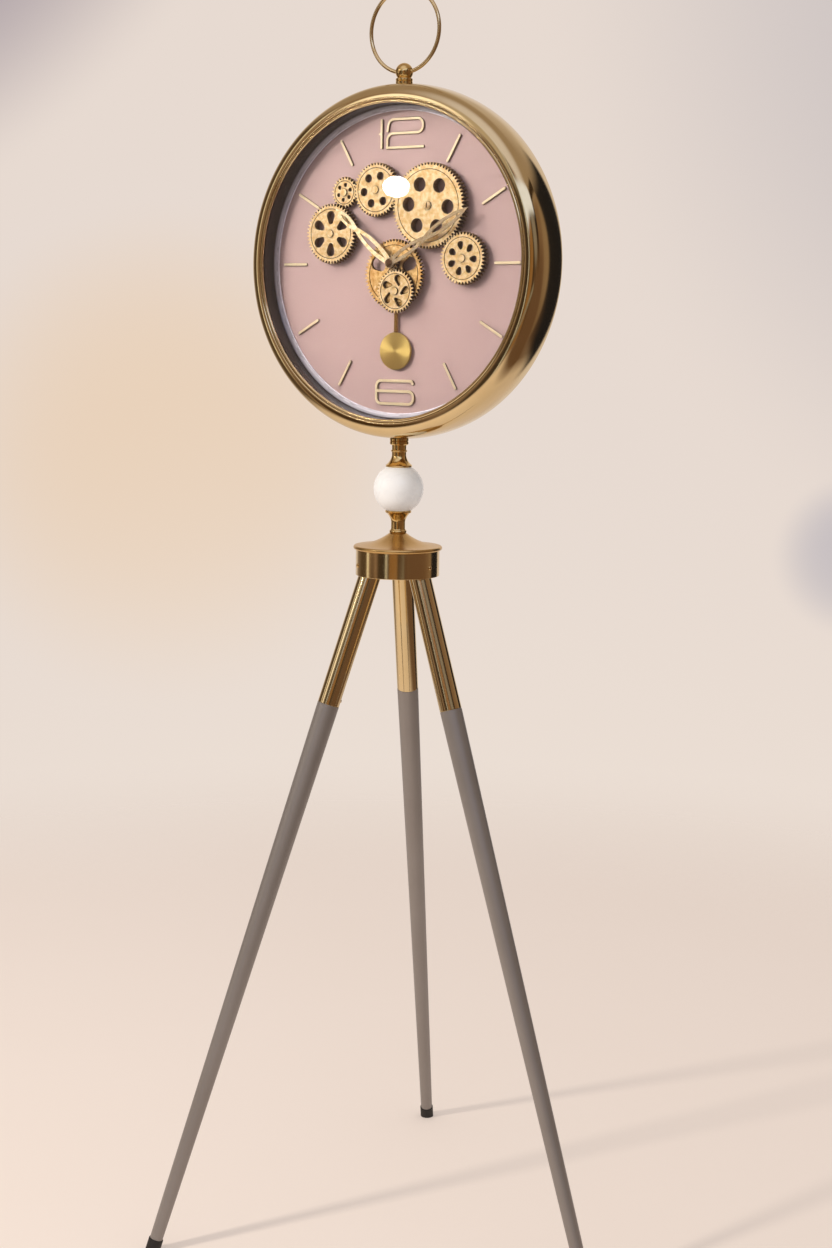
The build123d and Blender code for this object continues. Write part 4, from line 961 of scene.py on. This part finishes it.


# the wheels and the centre plate get dark brown painted shade
wheel_gilt = gilt("old gold on zinc", "#F0DAB2", "#DAB57C", painted_shade="#3A2212", roughness=0.3)
wheels = ("gear_great", "gear_top", "gear_small", "gear_left", "gear_right", "gear_minute")
node_finish(wheel_gilt, *wheels, edge=0.25)
node_finish(wheel_gilt, "hour_pinion", "great_bolt", edge=0.15)
node_finish(wheel_gilt, "gear_posts", "minute_post", "plate_pillars", "gear_caps")
plate_gilt = gilt("browned old gold on zinc", "#E2BF86", "#B98A4C", painted_shade="#3A2212", roughness=0.35)
node_finish(plate_gilt, "centre_plate", edge=0.25)

# steel arbors, bush and nuts: bright turned steel
arbor_steel = plated_steel("bright turned steel", "#C4C1BA", "#A09D97", roughness=0.2)
node_finish(arbor_steel, "arbor_bush", "great_arbor", "hour_tube", "minute_arbor")
node_finish(arbor_steel, "bush_nut", "post_nuts", edge=0.2)

# Hands
# Two openwork hands pressed from brass sheet, gilt and polished. A domed nut holds them on
# the arbor, and the glass keeps the dust off them.
# painted shade on the hands too: dark brown on their sides and where nearby parts hide them
hand_gold = gilt("polished gilt hands", "#FBEBCB", "#E6C692", painted_shade="#4E3016", roughness=0.3, metal=0.6)
node_finish(hand_gold, "hour_hand", "minute_hand", edge=0.3)
node_finish(hand_gold, "hand_nut")

# Pendulum
# A brass rod hung on the hands' bush, with a disc turned to a shallow cone. The cutter's
# rings on the disc throw its light into two bright fans.
pendulum_length = 112.3
pendulum_rod_back = 1.8
pendulum_rod_diameter = 5
bob_diameter = 48.5
bob_edge_thickness = 3.2
bob_bulge_height = 1.2
bob_bevel = 0.5
pendulum_level = pendulum_rod_back + pendulum_rod_diameter / 2

# brass faced off on a lathe: each ring of the cutter stretches a highlight across the disc
bob_brass, shader, _ = new_material("ring turned brass disc", Metallic=1.0, Anisotropic=0.85)
lathe = add(bob_brass, "Attribute", {}, attribute_name="lathe").outputs["Vector"]
flat = add(bob_brass, "VectorMath", {0: lathe, 1: (1, 1, 0)}, operation="MULTIPLY")
radius = add(bob_brass, "VectorMath", {0: flat}, operation="LENGTH")
across = add(bob_brass, "CombineXYZ", {"X": radius})
colour, rings = clouded(bob_brass, across, 0.5, 2.0, "#E6CC82", "#D0B060")
surface(bob_brass, shader, colour, polish=(rings, 0.28, 0.36))
feed(bob_brass, shader, Tangent=add(bob_brass, "Tangent", {}, direction_type="RADIAL", axis="Y"))

bob_radius = bob_diameter / 2
bob_back = pendulum_level - bob_edge_thickness / 2
bob_front = pendulum_level + bob_edge_thickness / 2
bob_outline = [
    (0, bob_back),
    (bob_radius - bob_bevel, bob_back),
    (bob_radius, bob_back + bob_bevel),
    (bob_radius, bob_front - bob_bevel),
    (bob_radius - bob_bevel, bob_front),
    (0, bob_front + bob_bulge_height),
]
bob_place = face @ Matrix.Translation((0, -pendulum_length * mm, 0))
bob = turned("pendulum_disc", bob_outline, bob_place, steps=128)
fit(bob, bob_brass, "pendulum", "pendulum_gold", "pendulum_bob")
rod_brass = drawn_brass("drawn brass pendulum rod", "#D6B06C", "#BF9650", roughness=0.2, line_pitch=0.4)
node_finish(rod_brass, "pendulum_rod")

# Finial
# A ball on a grooved collar, turned from brass bar and drilled across for the ring. The stem's
# rod bolts it to the top of the case.
finial_ball_diameter = 22.8
finial_ball_height = 14.8
finial_collar_diameter = 22
finial_collar_height = 6.8
finial_neck_diameter = 16.8
finial_shoulder_height = 4.4
finial_edge = 1.2
finial_sink = 0.3
finial_groove_height = 3.4
finial_groove_depth = 0.8
finial_groove_half_width = 0.6
ring_pivot_height = case_top_height + finial_ball_height
finial_collar = finial_collar_diameter / 2
finial_neck = finial_neck_diameter / 2
finial_groove = case_top_height + finial_groove_height
finial_collar_top = case_top_height + finial_collar_height
finial_ball_radius = finial_ball_diameter / 2
ball_start = -asin(sqrt(finial_ball_radius**2 - finial_neck**2) / finial_ball_radius)
finial_shoulder = [
    (finial_collar, case_top_height + finial_shoulder_height),
    (finial_collar, finial_collar_top),
    (finial_neck, finial_collar_top),
]
finial_outline = [
    (0, case_top_height - finial_sink),
    (finial_collar, case_top_height - finial_sink),
    (finial_collar, finial_groove - finial_groove_half_width),
    (finial_collar - finial_groove_depth, finial_groove),
    (finial_collar, finial_groove + finial_groove_half_width),
    *rounded(finial_shoulder, finial_edge)[corner_points:-corner_points],
    (finial_neck, finial_collar_top),
    *sweep_arc((0, ring_pivot_height), finial_ball_radius, ball_start, pi / 2, 32)[:-1],
    (0, ring_pivot_height + finial_ball_radius),
]
finial = turned("finial_turned", finial_outline)
fit(finial, collar_brass, "stand", "turned_brass", "finial")

# Bail ring
# A ring of brass wire, bent and brazed, that swings in the hole through the finial's ball.
ring_radius = 52
ring_wire_diameter = 5
ring_sag = ring_radius - sqrt(ring_radius**2 - finial_ball_radius**2)
ring_outline = sweep_arc((ring_radius, 0), ring_wire_diameter / 2, 0, 2 * pi, 24)[:-1]
ring_height = ring_pivot_height - ring_sag / 2 + ring_radius
ring_place = Matrix.Translation((0, 0, ring_height * mm)) @ Matrix.Rotation(radians(90), 4, "X")
ring_brass = turned_brass("drawn brass ring", "#E6CFA2", "#D8BB88", roughness=0.12, line_pitch=0.5)
bail_ring = turned("bail_ring_bent", ring_outline, ring_place, steps=192)
fit(bail_ring, ring_brass, "ring", "ring_brass", "bail_ring")

# Room
# A pale studio floor that fades into a cream background, a soft lamp in front at the left,
# and a small lamp that shows as a spot in the glass.
floor_radius = 2.9
floor_fade_start = 1.5
floor_fade_end = 2.85
floor_glow_share = 0.2
shape = bmesh.new()
bmesh.ops.create_circle(shape, cap_ends=True, cap_tris=True, segments=128, radius=floor_radius)
floor = put_up("studio_floor", finished(shape, "studio_floor"))

# matt paint on the floor: its own light share keeps it as pale as the background, and shadows stay
floor_paint, shader, place = new_material("matt studio floor", Roughness=0.9, Specular_IOR_Level=0.1)
scuff = add(floor_paint, "TexNoise", {"Vector": place, "Scale": 1.5, "Detail": 3.0})
shades = {"Factor": scuff, "A": "#F3E5D9", "B": "#F6E9DF"}
surface(floor_paint, shader, add(floor_paint, "Mix", shades, data_type="RGBA"))
rays = add(floor_paint, "LightPath", {}).outputs
straight = add(floor_paint, "Math", {0: rays["Is Camera Ray"], 1: rays["Is Glossy Ray"]}, operation="MAXIMUM")
seen = add(floor_paint, "Math", {0: straight, 1: rays["Is Transmission Ray"]}, operation="MAXIMUM")
share = add(floor_paint, "Math", {0: seen, 1: floor_glow_share}, operation="MULTIPLY")
pale = add(floor_paint, "Emission", {"Color": "#FAEAE3", "Strength": 1.35})
lifted = add(floor_paint, "MixShader", {0: share, 1: shader, 2: pale})
# brass mirrors a dark rug that lies to the right of the clock, out of the picture
across = add(floor_paint, "SeparateXYZ", {0: place}).outputs["X"]
aside = add(floor_paint, "MapRange", {"Value": across, "From Min": 0.7, "From Max": 1.1})
dim = add(floor_paint, "Math", {0: aside, 1: rays["Is Glossy Ray"]}, operation="MULTIPLY")
rug = add(floor_paint, "Emission", {"Color": "#735946", "Strength": 1.0})
mirrored_floor = add(floor_paint, "MixShader", {0: dim, 1: lifted, 2: rug})
distance = add(floor_paint, "VectorMath", {0: place}, operation="LENGTH")
rim_band = {"From Min": floor_fade_start, "From Max": floor_fade_end}
fade = add(floor_paint, "MapRange", {"Value": distance, **rim_band}, interpolation_type="SMOOTHSTEP")
open_air = add(floor_paint, "BsdfTransparent", {})
edge = add(floor_paint, "MixShader", {0: fade, 1: mirrored_floor, 2: open_air})
wire(floor_paint, floor_paint.node_tree.nodes["Material Output"], {"Surface": edge})
floor.data.materials.append(floor_paint)

room = bpy.data.worlds.new("studio")
bpy.context.scene.world = room
room.use_nodes = True
room.node_tree.nodes.clear()
toward = add(room, "TexCoord", {}).outputs["Generated"]


def direction(azimuth, elevation):
    """A direction in the room: azimuth 0 is behind the clock, 90 to its right."""
    a, e = radians(azimuth), radians(elevation)
    return Vector((sin(a) * cos(e), cos(a) * cos(e), sin(e)))


def near(aim, inner, outer):
    """How near a ray points to an aim: 1 within the inner angle, 0 beyond the outer one."""
    facing = add(room, "VectorMath", {0: toward, 1: aim}, operation="DOT_PRODUCT")
    limits = {"From Min": cos(radians(outer)), "From Max": cos(radians(inner))}
    return add(room, "MapRange", {"Value": facing, **limits}, interpolation_type="SMOOTHSTEP")


def glow(base, colour, azimuth, elevation, inner, outer):
    """The room's colour with a soft round patch of another colour laid over it."""
    share = near(direction(azimuth, elevation), inner, outer)
    return add(room, "Mix", {"Factor": share, "A": base, "B": colour}, data_type="RGBA")


def strip(base, colour, start, end, half_width):
    """The room's colour with a long soft patch between two directions laid over it."""
    first, last = direction(*start), direction(*end)
    middle = (first + last).normalized()
    side = add(room, "VectorMath", {0: toward, 1: first.cross(last).normalized()}, operation="DOT_PRODUCT")
    off = add(room, "Math", {0: side}, operation="ABSOLUTE")
    limits = {"From Min": sin(radians(half_width)), "From Max": sin(radians(half_width / 2))}
    across = add(room, "MapRange", {"Value": off, **limits}, interpolation_type="SMOOTHSTEP")
    reach = first.angle(middle) * 180 / pi
    along = near(middle, reach - half_width, reach)
    share = add(room, "Math", {0: across, 1: along}, operation="MULTIPLY")
    return add(room, "Mix", {"Factor": share, "A": base, "B": colour}, data_type="RGBA")


# the wall behind the clock, with painted shade in greyer patches at its upper left, upper right and just
# right of the clock, a painted pool of warm light at the left, and paler below
wall = "#E7DAD1"
wall = glow(wall, "#B4A8AB", -58, 22, 16.5, 21.5)
wall = glow(wall, "#C8C0C0", -8, 12, 2, 22)
wall = glow(wall, "#E9D2BB", -40.5, -4, 1, 8)
wall = glow(wall, "#C4BDC0", -19.5, -6.5, 0, 2.6)
wall = glow(wall, "#ECDFD4", -33, -35, 12, 34)
background = add(room, "Background", {"Color": wall, "Strength": 1.0})

# what polished brass mirrors. A ring of walls, doors and dark gaps stands round the clock:
# each stop is a direction, counted like the azimuth, and the colour seen there
ring_stops = {
    -180: "#43392F",
    -160: "#4A3D30",
    -152: "#9C8372",
    -122: "#97806C",
    -116: "#5E4F3F",
    -98: "#5A4B3C",
    -92: "#6A5A4A",
    -76: "#8C7C70",
    -64: "#E6D9CF",
    4: "#E9DCD2",
    8: "#232226",
    40: "#28262A",
    43: "#A08A74",
    70: "#8E7460",
    96: "#8A7058",
    100: "#2E241C",
    115: "#3C3024",
    117: "#B79E7C",
    119: "#46382A",
    145: "#4A3B2C",
    149: "#A07A52",
    168: "#967048",
    172: "#3A3026",
    180: "#43392F",
}
part = add(room, "SeparateXYZ", {0: toward})
turn = add(room, "Math", {0: part.outputs["X"], 1: part.outputs["Y"]}, operation="ARCTAN2")
lap = add(room, "MapRange", {"Value": turn, "From Min": -pi, "From Max": pi})
horizon = add(room, "ValToRGB", {"Fac": lap})
stops = horizon.color_ramp.elements
for number, (azimuth, seen_there) in enumerate(ring_stops.items()):
    stop = stops[0] if number == 0 else stops.new((azimuth + 180) / 360)
    stop.position = (azimuth + 180) / 360
    stop.color = linear(seen_there)
stops.remove(stops[len(stops) - 1])
ceiling = glow("#AE9C8C", "#CFC0B2", -26, 20, 20, 50)
ceiling = glow(ceiling, (0.85, 0.84, 1.0, 1), 165, 48, 5, 45)
height = part.outputs["Z"]
low = {"Value": height, "From Min": -0.3, "From Max": 0.1}
rise = add(room, "MapRange", low, interpolation_type="SMOOTHSTEP")
shell = add(room, "Mix", {"Factor": rise, "A": "#EADBD0", "B": ceiling}, data_type="RGBA")
off_level = add(room, "Math", {0: height}, operation="ABSOLUTE")
tall = {"Value": off_level, "From Min": sin(radians(37)), "From Max": sin(radians(27))}
band = add(room, "MapRange", tall, interpolation_type="SMOOTHSTEP")
mirrored = add(room, "Mix", {"Factor": band, "A": shell, "B": horizon}, data_type="RGBA")
# a rug, a wall, a door's edge, a window, its sill, more lamps and the gap between two walls
mirrored = glow(mirrored, "#735946", 95, -38, 30, 62)
mirrored = glow(mirrored, "#96908E", 128, 14, 5, 17)
mirrored = strip(mirrored, "#3E3022", (40, 33), (105, 33), 4)
mirrored = strip(mirrored, (1.05, 1.2, 1.7, 1), (100, 32), (178, 13), 9)
mirrored = strip(mirrored, (0.3, 0.28, 0.25, 1), (127, -8), (180, -18), 3)
mirrored = strip(mirrored, (1.5, 1.4, 1.25, 1), (-122, -60), (-95, -66), 3)
mirrored = glow(mirrored, "#4A3826", -140, -18, 6, 15)
mirrored = glow(mirrored, (0.62, 0.54, 0.46, 1), -166, 26, 6, 16)
mirrored = strip(mirrored, (1.05, 1.0, 0.92, 1), (-124, -14), (-124, 30), 5)
mirrored = glow(mirrored, (1.7, 1.65, 1.6, 1), -147, 20, 4, 12)
studio = add(room, "Background", {"Color": mirrored, "Strength": 1.0})

# matt pieces get the same light from all round
even = add(room, "Background", {"Color": "#FFF9F4", "Strength": 0.62})
rays = add(room, "LightPath", {}).outputs
# what lies behind the glass mirrors the same room as what lies in front of it
bounced = add(room, "Math", {0: rays["Glossy Depth"], 1: 0.5}, operation="GREATER_THAN")
behind_glass = add(room, "Math", {0: bounced, 1: rays["Is Transmission Ray"]}, operation="MULTIPLY")
mirror = add(room, "Math", {0: behind_glass, 1: rays["Is Glossy Ray"]}, operation="MAXIMUM")
lit = add(room, "MixShader", {0: mirror, 1: even, 2: studio})
bounces = add(room, "Math", {0: rays["Glossy Depth"], 1: rays["Diffuse Depth"]}, operation="ADD")
no_bounce = add(room, "Math", {0: bounces, 1: 0.5}, operation="LESS_THAN")
sights = {0: rays["Is Camera Ray"], 1: rays["Is Transmission Ray"]}
clear_view = add(room, "Math", sights, operation="MAXIMUM")
straight = add(room, "Math", {0: clear_view, 1: no_bounce}, operation="MULTIPLY")
sight = add(room, "MixShader", {0: straight, 1: lit, 2: background})
add(room, "OutputWorld", {"Surface": sight})


def aimed(name, lamp, spot, target):
    """A lamp at a spot in the room, turned to a target."""
    light = put_up(name, lamp)
    light.location = spot
    light.rotation_euler = (Vector(target) - Vector(spot)).to_track_quat("-Z", "Y").to_euler()
    light.visible_camera = False
    return light


soft_lamp = bpy.data.lights.new("soft_lamp", "AREA")
soft_lamp.size = 0.24
soft_lamp.energy = 44
soft_lamp.color = linear("#FFF6EA")[:3]
aimed("soft_lamp", soft_lamp, (-1.21, -2.40, 2.26), (0, 0, 1.1)).visible_glossy = False

spot_lamp = bpy.data.lights.new("small_lamp", "AREA")
spot_lamp.shape = "ELLIPSE"
spot_lamp.size = 0.062
spot_lamp.size_y = 0.048
spot_lamp.energy = 0.4
aimed("small_lamp", spot_lamp, (-1.094, -1.692, 1.565), (0, 0, 1.3))

# Camera
# The photograph's own place and angle: in front of the clock, to its right, looking
# slightly down.
camera_yaw = radians(32.93)
camera_pitch = radians(8.97)
camera_roll = radians(0.89)
camera_spot = (1.356, -2.046, 1.232)
focal_pixels = 1850
long_side_pixels = 1248
level = Vector((cos(camera_yaw), sin(camera_yaw), 0))
forward = Vector((-sin(camera_yaw), cos(camera_yaw), 0))
ahead = forward * cos(camera_pitch) - Vector((0, 0, sin(camera_pitch)))
upright = level.cross(ahead)
right = level * cos(camera_roll) + upright * sin(camera_roll)
up = upright * cos(camera_roll) - level * sin(camera_roll)
lens = bpy.data.cameras.new("camera")
lens.sensor_width = 36
lens.lens = focal_pixels * lens.sensor_width / long_side_pixels
camera = put_up("camera", lens)
turn = Matrix((right, up, -ahead)).transposed().to_4x4()
camera.matrix_world = Matrix.Translation(camera_spot) @ turn
bpy.context.scene.camera = camera
bpy.context.scene.view_settings.view_transform = "Standard"
